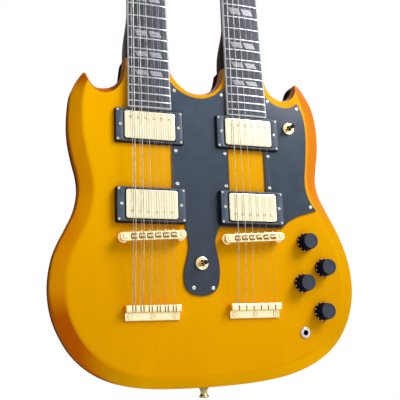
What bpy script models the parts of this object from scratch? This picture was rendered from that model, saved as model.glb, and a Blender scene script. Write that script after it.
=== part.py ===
"""Double-neck electric guitar: a twelve-string neck and a six-string neck on one body.

Metres. +X runs to the six-string side, +Z up along the necks, and the face looks
towards -Y. The body's flat back lies on Y = 0, and Z = 0 is the bridge line.
Most pieces are laid out in face coordinates: across (X), along (Z) and height above
the face. Each neck and headstock has such coordinates of its own, tilted back.
"""

import math

import bmesh
import bpy
from mathutils import Matrix, Vector

MM = 0.001

# Fits
SEAT_GAP = 0.3 * MM
GLUE_LINE = 0.1 * MM
RUNNING_GAP = 0.1 * MM
# How far a cutter, or a shape that is joined on, reaches past the face that it crosses
OVERLAP = 1 * MM

# Body
BODY_DEPTH = 36 * MM
BEVEL_DROP = 10 * MM
BACK_ROUND = 2.5 * MM
# The most that the rounding takes of a narrow bevel's width
BACK_ROUND_SHARE = 0.5
SHOULDER = 237 * MM
OUTLINE_STEPS = 3

# Necks
NECK_SPACING = 136 * MM
NECK_TILT = math.radians(2.0)
SCALE_LENGTH = 628 * MM
FRET_COUNT = 22
BOARD_RISE = 15 * MM
BOARD_THICK = 5.5 * MM
BOARD_OVERHANG = 8.2 * MM
BOARD_END = SCALE_LENGTH * 2 ** (-FRET_COUNT / 12) - BOARD_OVERHANG
BOARD_END_WIDTH = 57.4 * MM
NUT_WIDTH = 44.6 * MM
NUT_LENGTH = 5 * MM
NUT_HEIGHT = 2.0 * MM
FRET_WIDTH = 2.4 * MM
FRET_HEIGHT = 1.2 * MM
FRET_TANG = 1.0 * MM
FRET_END_INSET = 0.3 * MM
NECK_DEPTH_NUT = 14.5 * MM
NECK_DEPTH_HEEL = 18 * MM
NECK_FULLNESS = 0.75
NECK_SECTION_POINTS = 9
NUT_RUN_UP = 20 * MM
HEAD_STUB = 12 * MM
HEAD_STUB_INSET = 3 * MM
HEAD_STUB_DEPTH = 16.5 * MM
HEEL_DEPTH = 34.5 * MM
HEEL_LENGTH = 64 * MM
HEEL_HALF_WIDTH = 29.3 * MM
HEEL_FULLNESS = 0.2
# Share of the heel's length, and of its extra depth, from the body outwards
HEEL_SWEEP = [(0.0, 1.0), (0.25, 0.98), (0.5, 0.78), (0.75, 0.33), (1.0, 0.0)]
WOOD_OVER_BODY = 14 * MM
TENON_WIDTH = 38 * MM
TENON_DEPTH = 22 * MM
TENON_LAP = 10 * MM
TENON_END_GAP = 2 * MM

# Headstocks
HEAD_TILT = math.radians(14)
HEAD_THICK = 14 * MM
HEAD_LENGTH = {"12": 226 * MM, "6": 172 * MM}
HEAD_HALF_WIDTH = 37 * MM
TUNERS_PER_SIDE = {"12": 6, "6": 3}
TUNER_PITCH = {"12": 30 * MM, "6": 42 * MM}
FIRST_TUNER = 46 * MM
POST_OFFSET = 24 * MM
POST_RADIUS = 3.0 * MM
POST_HEIGHT = 11 * MM
WRAP_LEVEL = 7.4 * MM
HOUSING_WIDTH = 15 * MM
HOUSING_LENGTH = 19 * MM
HOUSING_DEPTH = 10.5 * MM
HOUSING_INSET = (1.0 * MM, 1.5 * MM)
TUNER_PLATE_THICK = 1.5 * MM
WORM_OFFSET = 5 * MM
WORM_RADIUS = 2.0 * MM
WORM_SEAT = 9 * MM
WORM_END_GAP = 0.5 * MM
BUTTON_CLEARANCE = 3 * MM
BUTTON_REACH = 20 * MM
BUTTON_HALF_HEIGHT = 8.5 * MM
BUTTON_HALF_THICK = 4.2 * MM
# Shares of the button's reach, half height and half thickness
BUTTON_SHAPE = [(0.075, 0.42, 0.72), (0.30, 0.86, 0.85), (0.62, 1.0, 1.0), (0.90, 0.74, 0.8),
                (1.0, 0.3, 0.35)]

# Pickguard
GUARD_THICK = 2.0 * MM
GUARD_TOP = SEAT_GAP + GUARD_THICK
GUARD_WINDOW = (40.5 * MM, 93 * MM)
NECK_CUT_MARGIN = 0.6 * MM

# Pickups
RING_SIZE = (91 * MM, 46 * MM)
RING_TO_BOARD = 0.5 * MM
PICKUP_LINES = {"neck": BOARD_END - RING_TO_BOARD - RING_SIZE[1] / 2, "bridge": 41.5 * MM}
RING_CORNER = 3 * MM
RING_HEIGHT = {"neck": 5.5 * MM, "bridge": 9 * MM}
RING_DRAFT = 2.0 * MM
COVER_SIZE = (67 * MM, 37 * MM)
COVER_PROUD = 2.6 * MM
COVER_HEIGHT = 16 * MM
COVER_WALL = 0.8 * MM
COVER_GAP = 1.0 * MM
CAVITY_SIZE = (72 * MM, 40 * MM)
CAVITY_EAR = (84 * MM, 14 * MM)
EAR_TAPER = 0.85
CAVITY_DEPTH = 21 * MM

# Bridges
BRIDGE_CENTRE = 1.7 * MM
BRIDGE_SLANT = math.radians(3.0)
POST_SPACING = 73 * MM
BRIDGE_LAP = 5.5 * MM
BRIDGE_SIZE = (POST_SPACING + 2 * BRIDGE_LAP, 11 * MM)
BRIDGE_BASE = 8.5 * MM
BRIDGE_TOP = 16 * MM
BRIDGE_END_RADIUS = 4.7 * MM
BRIDGE_CHANNEL = (66 * MM, 5.6 * MM)
BRIDGE_FLOOR = 11 * MM
SADDLE_SIZE = (7.2 * MM, 5.0 * MM)
SADDLE_TOP = 18.2 * MM
SADDLE_CREST = 1.2 * MM
STUD_RADIUS = 2.7 * MM
STUD_PROUD = 0.8 * MM
STUD_DEPTH = 18 * MM
WHEEL_RADIUS = 7 * MM
WHEEL_THICK = 3 * MM

# Tailpieces
TAIL_WIDTH = 69 * MM
TAIL_BAR = (-91 * MM, -82 * MM)
TAIL_BAR_TOP = 11.5 * MM
TAIL_PLATE_END = -100.5 * MM
TAIL_PLATE_TOP = 3 * MM
TAIL_SLOT = 2.0 * MM
TAIL_SLOT_FLOOR = 7.0 * MM
TAIL_CHAMFER = 2 * MM

# Strings, from the low side to the high side
STRING_LIFT = 0.12 * MM
STRING_IN_SLOT = 1.2 * MM
SLOT_RUN = 2.5 * MM
NUT_BREAK = 0.8 * MM
BALL_RADIUS = 1.5 * MM
BALL_LENGTH = 3.1 * MM
BALL_GAP = 0.5 * MM
BALL_SHOULDER = 0.2 * MM
BALL_BAR = 1.0 * MM
COURSE_PITCH = 10.1 * MM
NUT_COURSE_PITCH = 7.1 * MM
PAIR_SPREAD = 3.2 * MM
NUT_PAIR_SPREAD = 2.1 * MM
SLOT_PAIR_SPREAD = 3.7 * MM
GAUGES_6 = [1.17 * MM, 0.91 * MM, 0.66 * MM, 0.43 * MM, 0.33 * MM, 0.25 * MM]
OCTAVE_GAUGES = [0.66 * MM, 0.46 * MM, 0.36 * MM, 0.25 * MM, 0.33 * MM, 0.25 * MM]

# Controls: across and along
KNOB_PLACES = {
    "knob_volume_12": (148 * MM, -1.5 * MM),
    "knob_volume_6": (173 * MM, -36 * MM),
    "knob_tone_12": (140.5 * MM, -56.5 * MM),
    "knob_tone_6": (167.5 * MM, -94 * MM),
}
KNOB_BASE_RADIUS = 12.2 * MM
KNOB_TOP_RADIUS = 10.6 * MM
KNOB_HEIGHT = 17 * MM
KNOB_CLEARANCE = 1.0 * MM
KNOB_EDGE = 1.0 * MM
KNOB_DRAFT = 0.6 * MM
KNOB_SKIRT = 3 * MM
KNOB_SKIRT_BLEND = 1.5 * MM
KNOB_POCKET = (8.2 * MM, 3.5 * MM)
SHAFT_RADIUS = 3 * MM
SWITCH_PLACES = {"pickup": (131 * MM, 156 * MM), "neck": (-3 * MM, -31 * MM)}
SWITCH_NUT_RADIUS = 8.6 * MM
SWITCH_NUT_THICK = 3.6 * MM
SWITCH_NUT_CHAMFER = 1.0 * MM
SWITCH_BORE = 3.9 * MM
SWITCH_SIDES = 16
SWITCH_DEPTH = 12 * MM
SWITCH_FLOOR = 2 * MM
LEVER_BALL = SWITCH_BORE * math.cos(math.pi / SWITCH_SIDES) - RUNNING_GAP
SWITCH_BUSH_RADIUS = 6 * MM
LEVER_RADIUS = 1.5 * MM
LEVER_TIP_RADIUS = 3.0 * MM
LEVER_HEIGHT = 23 * MM
LEVER_TIP_LENGTH = 13 * MM
LEVER_TIP_DOME = (0.4 * MM, 2 * MM)
JACK_PLACE = (140 * MM, -121 * MM)
JACK_FLANGE_RADIUS = 6.9 * MM
JACK_FLANGE_THICK = 2.2 * MM
JACK_CHAMFER = 1.0 * MM
JACK_RADIUS = 4.7 * MM
JACK_BORE = 3.4 * MM
JACK_LENGTH = 22 * MM

# Hollows in the body's back and their covers
FACE_WALL = 7 * MM
COVER_LIP = 5 * MM
COVER_THICK = 2 * MM
CONTROL_CAVITY = [(124, 20), (158, 20), (193, -24), (193, -88), (176, -114), (152, -136), (126, -136),
                  (119, -108)]

# Strap buttons
BUTTON_BASE_RADIUS = 6 * MM
BUTTON_WAIST_RADIUS = 4.2 * MM
BUTTON_HEAD_RADIUS = 6.4 * MM
BUTTON_HEIGHT = 12 * MM
BUTTON_HEAD_EDGE = 1.5 * MM
BUTTON_HEAD_THICK = 4 * MM
BUTTON_BASE_EDGE = 1 * MM
BUTTON_BASE_THICK = 3 * MM
BOTTOM_BUTTON_X = 2 * MM
BACK_BUTTON_PLACE = (-128 * MM, 160 * MM)

# Body outline in millimetres: rim across, rim along, face across, face along. The rim is
# the widest line, and the face line is where the broad front bevel meets the flat face.
OUTER_RUN = [
    (-98.2, 237, -97.4, 237), (-98.8, 232.5, -97.7, 231.5), (-99.7, 226.5, -98.2, 225),
    (-100.4, 220.5, -98.9, 218), (-101.3, 215, -100.1, 211), (-103.2, 210, -102.3, 204.5),
    (-106.6, 205.2, -105.8, 198.5), (-111, 200.9, -110.6, 193), (-117, 197.6, -117, 188.9),
    (-124.5, 195.9, -124.5, 187), (-131.5, 195.9, -131, 187.6), (-136.8, 197.9, -136, 189.8),
    (-141, 202.2, -140, 193.2), (-144.6, 208.5, -143.5, 197.2), (-148.9, 215, -146.2, 200.8),
    (-153.2, 211.3, -148.2, 198), (-160, 200.5, -150.8, 189), (-166, 185.5, -153.2, 173),
    (-168.7, 158, -153.8, 154), (-168, 130, -152, 131),
    (-163, 103, -147, 105), (-157, 79, -141.5, 81), (-155.5, 59, -139, 58),
    (-160, 36, -142.5, 33), (-170, 14, -152, 8), (-180, -6, -162.5, -13),
    (-187, -27, -169.5, -31), (-190.5, -56, -172.5, -57), (-187.5, -86, -169.5, -83),
    (-178, -113, -161.5, -106), (-161, -140, -147, -128), (-137, -161, -126, -147),
    (-106, -175, -101, -160.5), (-68, -181.5, -66, -167.5), (-20, -183.5, -20, -169.5),
    (30, -183, 30, -168.5), (80, -180, 78, -165), (125, -172.5, 120, -156.5),
    (163, -158, 153.5, -142.5), (192, -137, 178, -123.5), (212, -108, 194, -98.5),
    (222, -76, 201.5, -72), (223, -46, 202, -44), (218, -18, 197.5, -16),
    (207, 12, 187, 9), (192.5, 40, 172, 37), (180.5, 64, 160.5, 62), (176.5, 84, 156, 84),
    (179, 106, 157.5, 107), (183.5, 134, 161, 135), (183.5, 166, 161, 164),
    (178, 194, 157.5, 187), (168, 213, 153, 202), (160, 224, 150.5, 210),
    (154, 228, 148.5, 214), (149.5, 222.5, 146.5, 210.5), (145.5, 212.5, 143.5, 205.5),
    (137, 203.5, 136, 199.5), (124.5, 201, 124.5, 197.5), (112.5, 205.5, 112, 202.5),
    (104.5, 214, 104, 211.5), (100.7, 222.5, 100.4, 221), (99.2, 230, 99, 229), (98.5, 237, 98.4, 237),
]
CENTRE_RUN = [
    (38.4, 237, 39.2, 237), (37.4, 232, 38.6, 231), (36.2, 226.5, 37.7, 225), (34.4, 220.5, 36.2, 218),
    (31.4, 214.5, 33, 211.5), (26.4, 208.6, 27.8, 204.8), (19.8, 203.9, 20.8, 199.4),
    (12, 201, 12.5, 195.8), (3.5, 200.1, 3.7, 194.6), (-5, 200.8, -5.2, 195.2),
    (-13.5, 203.3, -14, 198), (-21.5, 208.6, -22.4, 204), (-29, 215.3, -30.2, 211.8),
    (-34.5, 221.8, -35.6, 219.6), (-37.8, 229, -38.4, 228), (-39, 237, -39.3, 237),
]

# Pickguard outline in millimetres, as smooth runs that meet in corners
GUARD_RUNS = [
    [(-38, 208.5), (-38, 40)],
    [(-24.5, 24), (-21, 8), (-18.8, -9), (-22, -25), (-26, -41), (-25.5, -58), (-18.5, -68), (-4, -71.5),
     (10, -69), (18.5, -61), (22, -45), (21.5, -28), (18, -11), (18, 1), (24, 16.5)],
    [(114, 16.5), (125, 26), (139, 33.5), (154, 38), (168, 42)],
    [(168, 42), (160.5, 52), (154.5, 67), (153, 84), (156, 110), (158.8, 140), (158.6, 163), (155, 181),
     (148.5, 195)],
    [(148.5, 195), (143, 191), (136, 188), (128, 187), (117, 189), (107, 194.5), (99, 202)],
    [(36, 207), (24, 196), (8, 190), (-8, 190.5), (-25, 197), (-38, 208.5)],
]

# Headstock half outlines: share of the half width, and the distance along as a share of the length
HEAD_SHAPE = [(0.60, 0.0), (0.62, 0.035), (0.82, 0.10), (0.92, 0.17), (1.0, 0.55), (1.0, 0.86),
              (0.93, 0.95), (0.62, 0.985), (0.0, 1.0)]

UNITS = {"12": -NECK_SPACING / 2, "6": NECK_SPACING / 2}

# Face coordinates (across, along, height) to world coordinates
OUTWARD = Matrix.Rotation(math.radians(90), 4, "X")
FACE = Matrix.Translation((0, -BODY_DEPTH, 0)) @ OUTWARD
# A profile drawn as (along, height) and extruded across
SIDE_ON = Matrix(((0, 0, 1, 0), (1, 0, 0, 0), (0, 1, 0, 0), (0, 0, 0, 1)))


def reset_scene():
    for obj in list(bpy.data.objects):
        bpy.data.objects.remove(obj, do_unlink=True)
    for collection in list(bpy.data.collections):
        bpy.data.collections.remove(collection)


reset_scene()
PARTS = bpy.data.collections.new("double_neck_guitar")
CUTTERS = bpy.data.collections.new("cutters")
bpy.context.scene.collection.children.link(PARTS)
bpy.context.scene.collection.children.link(CUTTERS)


# Materials

def material(name, colour, roughness, metallic=0.0):
    mat = bpy.data.materials.new(name)
    mat.use_nodes = True
    shader = mat.node_tree.nodes["Principled BSDF"]
    shader.inputs["Base Color"].default_value = (*colour, 1)
    shader.inputs["Roughness"].default_value = roughness
    shader.inputs["Metallic"].default_value = metallic
    mat.diffuse_color = (*colour, 1)
    return mat


AMBER = material("amber_lacquer", (0.85, 0.38, 0.02), 0.25)
DARK_WOOD = material("dark_lacquered_wood", (0.05, 0.02, 0.01), 0.3)
ROSEWOOD = material("fingerboard_wood", (0.06, 0.045, 0.04), 0.5)
IVORY = material("ivory_plastic", (0.75, 0.73, 0.68), 0.4)
BLACK = material("black_plastic", (0.015, 0.017, 0.02), 0.2)
GOLD = material("gold_plate", (0.85, 0.6, 0.25), 0.25, 1.0)
CHROME = material("chrome_plate", (0.8, 0.8, 0.82), 0.12, 1.0)
WIRE = material("string_wire", (0.65, 0.62, 0.55), 0.35, 1.0)


# Meshes

def finish_mesh(mesh):
    """Welds loose caps and turns the faces outward."""
    bm = bmesh.new()
    bm.from_mesh(mesh)
    bmesh.ops.remove_doubles(bm, verts=bm.verts, dist=1e-6)
    bmesh.ops.recalc_face_normals(bm, faces=bm.faces)
    bm.to_mesh(mesh)
    bm.free()
    return mesh


def evaluated_mesh(obj):
    """Takes the mesh of a temporary object as its modifiers or curve settings make it."""
    bpy.context.scene.collection.objects.link(obj)
    graph = bpy.context.evaluated_depsgraph_get()
    mesh = bpy.data.meshes.new_from_object(obj.evaluated_get(graph))
    bpy.data.objects.remove(obj, do_unlink=True)
    return finish_mesh(mesh)


def prism(outlines, low, high):
    """A flat outline, with any holes as further outlines, extruded from low to high."""
    curve = bpy.data.curves.new("outline", "CURVE")
    curve.dimensions = "2D"
    curve.fill_mode = "BOTH"
    curve.extrude = (high - low) / 2
    for outline in outlines:
        spline = curve.splines.new("POLY")
        spline.points.add(len(outline) - 1)
        for point, (x, y) in zip(spline.points, outline):
            point.co = (x, y, 0, 1)
        spline.use_cyclic_u = True
    mesh = evaluated_mesh(bpy.data.objects.new("outline", curve))
    mesh.transform(Matrix.Translation((0, 0, (low + high) / 2)))
    return mesh


def block(centre, size):
    """A box from a cube primitive."""
    bm = bmesh.new()
    matrix = Matrix.Translation(centre) @ Matrix.Diagonal((*size, 1))
    bmesh.ops.create_cube(bm, size=1, matrix=matrix)
    mesh = bpy.data.meshes.new("block")
    bm.to_mesh(mesh)
    bm.free()
    return mesh


def rod(radius, low, high, sides, place=(0, 0), around=False):
    """An upright cylinder from a cone primitive: its flats lie at the radius if it goes around a shaft."""
    if around:
        radius /= math.cos(math.pi / sides)
    bm = bmesh.new()
    matrix = Matrix.Translation((*place, (low + high) / 2))
    bmesh.ops.create_cone(bm, cap_ends=True, segments=sides, radius1=radius, radius2=radius,
                          depth=high - low, matrix=matrix)
    mesh = bpy.data.meshes.new("rod")
    bm.to_mesh(mesh)
    bm.free()
    return mesh


def turned(profile, steps, closed=False):
    """A profile of (radius, height), from top to bottom on its outer side, turned about Z."""
    mesh = bpy.data.meshes.new("turned")
    count = len(profile)
    edges = [(i, i + 1) for i in range(count - 1)]
    if closed:
        edges.append((count - 1, 0))
    mesh.from_pydata([(r, 0, z) for r, z in profile], edges, [])
    obj = bpy.data.objects.new("turned", mesh)
    screw = obj.modifiers.new("turn", "SCREW")
    screw.steps = steps
    screw.render_steps = steps
    screw.use_merge_vertices = True
    screw.merge_threshold = 1e-6
    return evaluated_mesh(obj)


def tube(points, radius, factors=None):
    """A wire of round section along points, with closed ends."""
    curve = bpy.data.curves.new("tube", "CURVE")
    curve.dimensions = "3D"
    curve.bevel_depth = radius
    curve.bevel_resolution = 1
    curve.use_fill_caps = True
    spline = curve.splines.new("POLY")
    spline.points.add(len(points) - 1)
    for i, (point, place) in enumerate(zip(spline.points, points)):
        point.co = (*place, 1)
        point.radius = factors[i] if factors else 1
    return evaluated_mesh(bpy.data.objects.new("tube", curve))


def loft(rings):
    """A closed solid through rings of equally many points, capped at both ends."""
    bm = bmesh.new()
    rows = [[bm.verts.new(point) for point in ring] for ring in rings]
    count = len(rows[0])
    for lower, upper in zip(rows, rows[1:]):
        for i in range(count):
            j = (i + 1) % count
            bm.faces.new((lower[i], lower[j], upper[j], upper[i]))
    bm.faces.new(rows[0])
    bm.faces.new(rows[-1])
    bmesh.ops.recalc_face_normals(bm, faces=bm.faces)
    mesh = bpy.data.meshes.new("loft")
    bm.to_mesh(mesh)
    bm.free()
    return mesh


# Objects

def gather(name, shapes, frame):
    """Joins shapes, each a mesh or a (mesh, matrix) pair, into one object placed by frame."""
    bm = bmesh.new()
    for shape in shapes:
        mesh, matrix = shape if isinstance(shape, tuple) else (shape, Matrix.Identity(4))
        moved = mesh.copy()
        moved.transform(matrix)
        if matrix.determinant() < 0:
            moved.flip_normals()
        bm.from_mesh(moved)
        bpy.data.meshes.remove(moved)
    mesh = bpy.data.meshes.new(name)
    bm.to_mesh(mesh)
    bm.free()
    obj = bpy.data.objects.new(name, mesh)
    obj.matrix_world = frame
    return obj


def piece(name, shapes, mat, frame=FACE, smooth=True):
    obj = gather(name, shapes, frame)
    obj.data.materials.append(mat)
    if smooth:
        obj.data.shade_smooth()
        obj.data.set_sharp_from_angle(angle=math.radians(35))
    PARTS.objects.link(obj)
    return obj


def cutter(name, shapes, frame=FACE):
    obj = gather(name, shapes, frame)
    obj.hide_render = True
    obj.display_type = "WIRE"
    CUTTERS.objects.link(obj)
    return obj


def boolean(obj, other, operation="DIFFERENCE"):
    modifier = obj.modifiers.new(other.name, "BOOLEAN")
    modifier.operation = operation
    modifier.object = other


# Curves and outlines

def smooth_run(points, steps):
    """A run of points through the given ones, rounded between them."""
    padded = [points[0]] + list(points) + [points[-1]]
    result = []
    for a, b, c, d in zip(padded, padded[1:], padded[2:], padded[3:]):
        for step in range(steps):
            t = step / steps
            result.append(tuple(
                0.5 * (2 * q + (r - p) * t + (2 * p - 5 * q + 4 * r - s) * t * t
                       + (3 * q - p - 3 * r + s) * t ** 3)
                for p, q, r, s in zip(a, b, c, d)))
    result.append(tuple(points[-1]))
    return result


def in_metres(points):
    return [tuple(value * MM for value in point) for point in points]


def rounded_rectangle(width, height, radius, centre=(0, 0), corner_steps=3):
    """The outline of a rectangle with round corners."""
    points = []
    for quarter, (sx, sy) in enumerate(((1, 1), (-1, 1), (-1, -1), (1, -1))):
        for step in range(corner_steps + 1):
            angle = math.radians(90) * (quarter + step / corner_steps)
            points.append((centre[0] + sx * (width / 2 - radius) + radius * math.cos(angle),
                           centre[1] + sy * (height / 2 - radius) + radius * math.sin(angle)))
    return points


def cross_outline(main, ear, centre):
    """A rectangle with an ear at each end, as one outline."""
    half_w, half_h = main[0] / 2, main[1] / 2
    ear_w, ear_h = ear[0] / 2, ear[1] / 2
    quarter = [(ear_w, 0), (ear_w, ear_h * EAR_TAPER), (half_w, ear_h), (half_w, half_h)]
    points = []
    points += [(x, y) for x, y in quarter[1:]]
    points += [(-x, y) for x, y in reversed(quarter[1:])]
    points += [(-x, -y) for x, y in quarter[1:]]
    points += [(x, -y) for x, y in reversed(quarter[1:])]
    return [(centre[0] + x, centre[1] + y) for x, y in points]


def grown(outline, distance):
    """A counter-clockwise or clockwise outline moved outward by a distance."""
    count = len(outline)
    area = sum(outline[i - 1][0] * outline[i][1] - outline[i][0] * outline[i - 1][1]
               for i in range(count))
    turn = 1 if area > 0 else -1
    result = []
    for i in range(count):
        here = Vector(outline[i][:2])
        before = (here - Vector(outline[i - 1][:2])).normalized()
        after = (Vector(outline[(i + 1) % count][:2]) - here).normalized()
        first = Vector((before.y, -before.x)) * turn
        second = Vector((after.y, -after.x)) * turn
        mitre = (first + second).normalized()
        result.append(tuple(here + mitre * distance / max(mitre.dot(first), 0.4)))
    return result


# Frames of the necks, headstocks and bridges

def neck_frame(unit):
    """Across, along from the bridge line, and height above the fingerboard's top."""
    origin = Matrix.Translation((UNITS[unit], -BODY_DEPTH - BOARD_RISE, 0))
    return origin @ Matrix.Rotation(-NECK_TILT, 4, "X") @ OUTWARD


def head_frame(unit):
    """Across, along from the nut's far side, and height above the headstock's face."""
    start = Matrix.Translation((0, SCALE_LENGTH + NUT_LENGTH, -BOARD_THICK))
    return neck_frame(unit) @ start @ Matrix.Rotation(-HEAD_TILT, 4, "X")


def bridge_frame(unit):
    place = Matrix.Translation((UNITS[unit], BRIDGE_CENTRE, 0))
    return FACE @ place @ Matrix.Rotation(BRIDGE_SLANT, 4, "Z")


def fret_place(number):
    return SCALE_LENGTH * 2 ** (-number / 12)


def board_width(along):
    share = (along - BOARD_END) / (SCALE_LENGTH - BOARD_END)
    return BOARD_END_WIDTH + (NUT_WIDTH - BOARD_END_WIDTH) * share


# Pickups

def pickup_centres():
    for unit, across in UNITS.items():
        for position, along in PICKUP_LINES.items():
            yield unit, position, (across, along)


def ring_seat(unit):
    """The left rings stand on the wood, and the right ones on the pickguard."""
    return SEAT_GAP if unit == "12" else GUARD_TOP + SEAT_GAP


def cover_top(unit, position):
    return ring_seat(unit) + RING_HEIGHT[position] + COVER_PROUD


def ring_shape(unit, position, centre):
    low = ring_seat(unit)
    high = low + RING_HEIGHT[position]
    hole = (COVER_SIZE[0] + 2 * COVER_GAP, COVER_SIZE[1] + 2 * COVER_GAP)
    outer = rounded_rectangle(*RING_SIZE, RING_CORNER, corner_steps=2)
    inner = rounded_rectangle(*hole, RING_CORNER, corner_steps=2)
    mesh = prism([outer, inner], low, high)
    for vertex in mesh.vertices:
        x, y, z = vertex.co
        outside = abs(x) > hole[0] / 2 + GLUE_LINE or abs(y) > hole[1] / 2 + GLUE_LINE
        if outside and z > (low + high) / 2:
            vertex.co.x = x * (1 - 2 * RING_DRAFT / RING_SIZE[0])
            vertex.co.y = y * (1 - 2 * RING_DRAFT / RING_SIZE[1])
    return mesh, Matrix.Translation((*centre, 0))


def build_pickups():
    """Each pickup is a drawn metal lid, open below, in a ring of its own."""
    for unit, position, centre in pickup_centres():
        piece("pickup_ring_{}_{}".format(unit, position), [ring_shape(unit, position, centre)], BLACK)
        top = cover_top(unit, position)
        bottom = top - COVER_HEIGHT
        name = "pickup_{}_{}".format(unit, position)
        outer = rounded_rectangle(*COVER_SIZE, RING_CORNER, centre, corner_steps=2)
        cover = piece(name, [prism([outer], bottom, top)], GOLD)
        inner = grown(outer, -COVER_WALL)
        boolean(cover, cutter(name + "_hollow", [prism([inner], bottom - COVER_WALL, top - COVER_WALL)]))


# Body

def body_stations():
    """Rim and face points all the way round, in metres."""
    outer = smooth_run(OUTER_RUN, OUTLINE_STEPS)
    centre = smooth_run(CENTRE_RUN, OUTLINE_STEPS)
    return in_metres(outer + centre)


def back_outline(rim, face):
    """The back's flat, which each rim point moves onto in the direction of its face point."""
    result = []
    for outer, inner in zip(rim, face):
        step = Vector(inner) - Vector(outer)
        reach = min(BACK_ROUND, step.length * BACK_ROUND_SHARE)
        result.append(tuple(Vector(outer) + step.normalized() * reach))
    return result


def build_body():
    stations = body_stations()
    rim = [(s[0], s[1]) for s in stations]
    face = [(s[2], s[3]) for s in stations]
    back = back_outline(rim, face)
    rings = [
        [(x, y, -BODY_DEPTH) for x, y in back],
        [(x, y, -BODY_DEPTH + BACK_ROUND) for x, y in rim],
        [(x, y, -BEVEL_DROP) for x, y in rim],
        [(x, y, 0) for x, y in face],
    ]
    return piece("body", [loft(rings)], AMBER)


def cavity_cutters():
    """Pickup, neck, control and switch hollows, and the holes for what goes through the face."""
    pickups = [prism([cross_outline(CAVITY_SIZE, CAVITY_EAR, centre)], -CAVITY_DEPTH, BOARD_RISE)
               for _, _, centre in pickup_centres()]
    routes = cutter("pickup_cavities", pickups)
    back = -BODY_DEPTH
    rear = cutter("control_cavity", [prism([in_metres(CONTROL_CAVITY)], back - OVERLAP, -FACE_WALL)])
    lid = prism([grown(cover_outline(), SEAT_GAP)], back - OVERLAP, back + COVER_THICK + SEAT_GAP)
    recesses = cutter("cover_recess", [lid])
    holes = [rod(SHAFT_RADIUS + RUNNING_GAP, -FACE_WALL - OVERLAP, OVERLAP, 16, place, around=True)
             for place in KNOB_PLACES.values()]
    holes.append(rod(JACK_RADIUS + SEAT_GAP, -FACE_WALL - OVERLAP, OVERLAP, 16, JACK_PLACE))
    controls = cutter("control_holes", holes)
    switch_holes = [rod(SWITCH_BUSH_RADIUS + SEAT_GAP, -SWITCH_DEPTH - SEAT_GAP, GUARD_TOP + OVERLAP,
                        SWITCH_SIDES, place)
                    for place in SWITCH_PLACES.values()]
    switches = cutter("switch_holes", switch_holes)
    studs = []
    for unit in UNITS:
        for side in (-1, 1):
            spot = FACE.inverted() @ bridge_frame(unit) @ Matrix.Translation((side * POST_SPACING / 2, 0, 0))
            studs.append((rod(STUD_RADIUS + SEAT_GAP, -STUD_DEPTH - SEAT_GAP, OVERLAP, 10), spot))
    stud_holes = cutter("stud_holes", studs)
    pockets = []
    for unit in UNITS:
        frame = FACE.inverted() @ neck_frame(unit)
        low = -BOARD_THICK - TENON_DEPTH - SEAT_GAP
        near = BOARD_END - TENON_END_GAP
        far = SHOULDER + TENON_LAP
        size = (TENON_WIDTH + 2 * SEAT_GAP, far - near, -low)
        pockets.append((block((0, (near + far) / 2, low / 2), size), frame))
    neck_pockets = cutter("neck_pockets", pockets)
    return [routes, rear, recesses, controls, switches, stud_holes, neck_pockets]


def cover_outline():
    return grown(in_metres(CONTROL_CAVITY), COVER_LIP)


def build_rear_cover():
    low = -BODY_DEPTH + GLUE_LINE
    piece("control_cover", [prism([cover_outline()], low, -BODY_DEPTH + COVER_THICK)], BLACK)


# Pickguard

def guard_outline():
    points = []
    for run in GUARD_RUNS:
        smooth = smooth_run(run, 2) if len(run) > 2 else list(run)
        if points and math.dist(points[-1], smooth[0]) < 0.01:
            smooth = smooth[1:]
        points += smooth
    if math.dist(points[0], points[-1]) < 0.01:
        points.pop()
    return in_metres(points)


def build_pickguard():
    guard = piece("pickguard", [prism([guard_outline()], SEAT_GAP, GUARD_TOP)], BLACK)
    width, height = (side + 2 * SEAT_GAP for side in RING_SIZE)
    notches = [prism([rounded_rectangle(width, height, RING_CORNER, centre)], 0, GUARD_TOP + OVERLAP)
               for unit, _, centre in pickup_centres() if unit == "12"]
    boolean(guard, cutter("guard_ring_notches", notches))
    boolean(guard, bpy.data.objects["pickup_cavities"])
    left, right = GUARD_WINDOW
    low, high = PICKUP_LINES["bridge"], PICKUP_LINES["neck"]
    middle = ((left + right) / 2, (low + high) / 2, GUARD_TOP / 2)
    window = block(middle, (right - left, high - low, GUARD_TOP + OVERLAP))
    boolean(guard, cutter("guard_window", [window]))
    width = BOARD_END_WIDTH + 2 * NECK_CUT_MARGIN
    middle = (UNITS["6"], (high + SHOULDER) / 2, GUARD_TOP / 2)
    neck_cut = block(middle, (width, SHOULDER - high, GUARD_TOP + 2 * OVERLAP))
    boolean(guard, cutter("guard_neck_cut", [neck_cut]))
    boolean(guard, bpy.data.objects["switch_holes"])


# Necks

def neck_section(along, half_width, depth, fullness=NECK_FULLNESS):
    """A D-shaped section below the fingerboard, flat side up."""
    ring = []
    for i in range(NECK_SECTION_POINTS):
        angle = math.pi * i / (NECK_SECTION_POINTS - 1)
        z = -BOARD_THICK - GLUE_LINE - depth * math.sin(angle) ** fullness
        ring.append((half_width * math.cos(angle), along, z))
    return ring


def heel_sections():
    """From the body outwards, the heel's depth and squareness fade into the neck's."""
    sections = []
    for reach, extra in HEEL_SWEEP:
        along = SHOULDER + reach * HEEL_LENGTH
        half = board_width(along) / 2 + (HEEL_HALF_WIDTH - board_width(SHOULDER) / 2) * extra
        depth = NECK_DEPTH_HEEL + (HEEL_DEPTH - NECK_DEPTH_HEEL) * extra
        fullness = NECK_FULLNESS + (HEEL_FULLNESS - NECK_FULLNESS) * extra
        sections.append(neck_section(along, half, depth, fullness))
    return sections


def head_outline(unit):
    length = HEAD_LENGTH[unit]
    half = [(x * HEAD_HALF_WIDTH, y * length) for x, y in HEAD_SHAPE]
    right = smooth_run(half, 2)
    left = [(-x, y) for x, y in reversed(right[:-1])]
    return right + left


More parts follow.
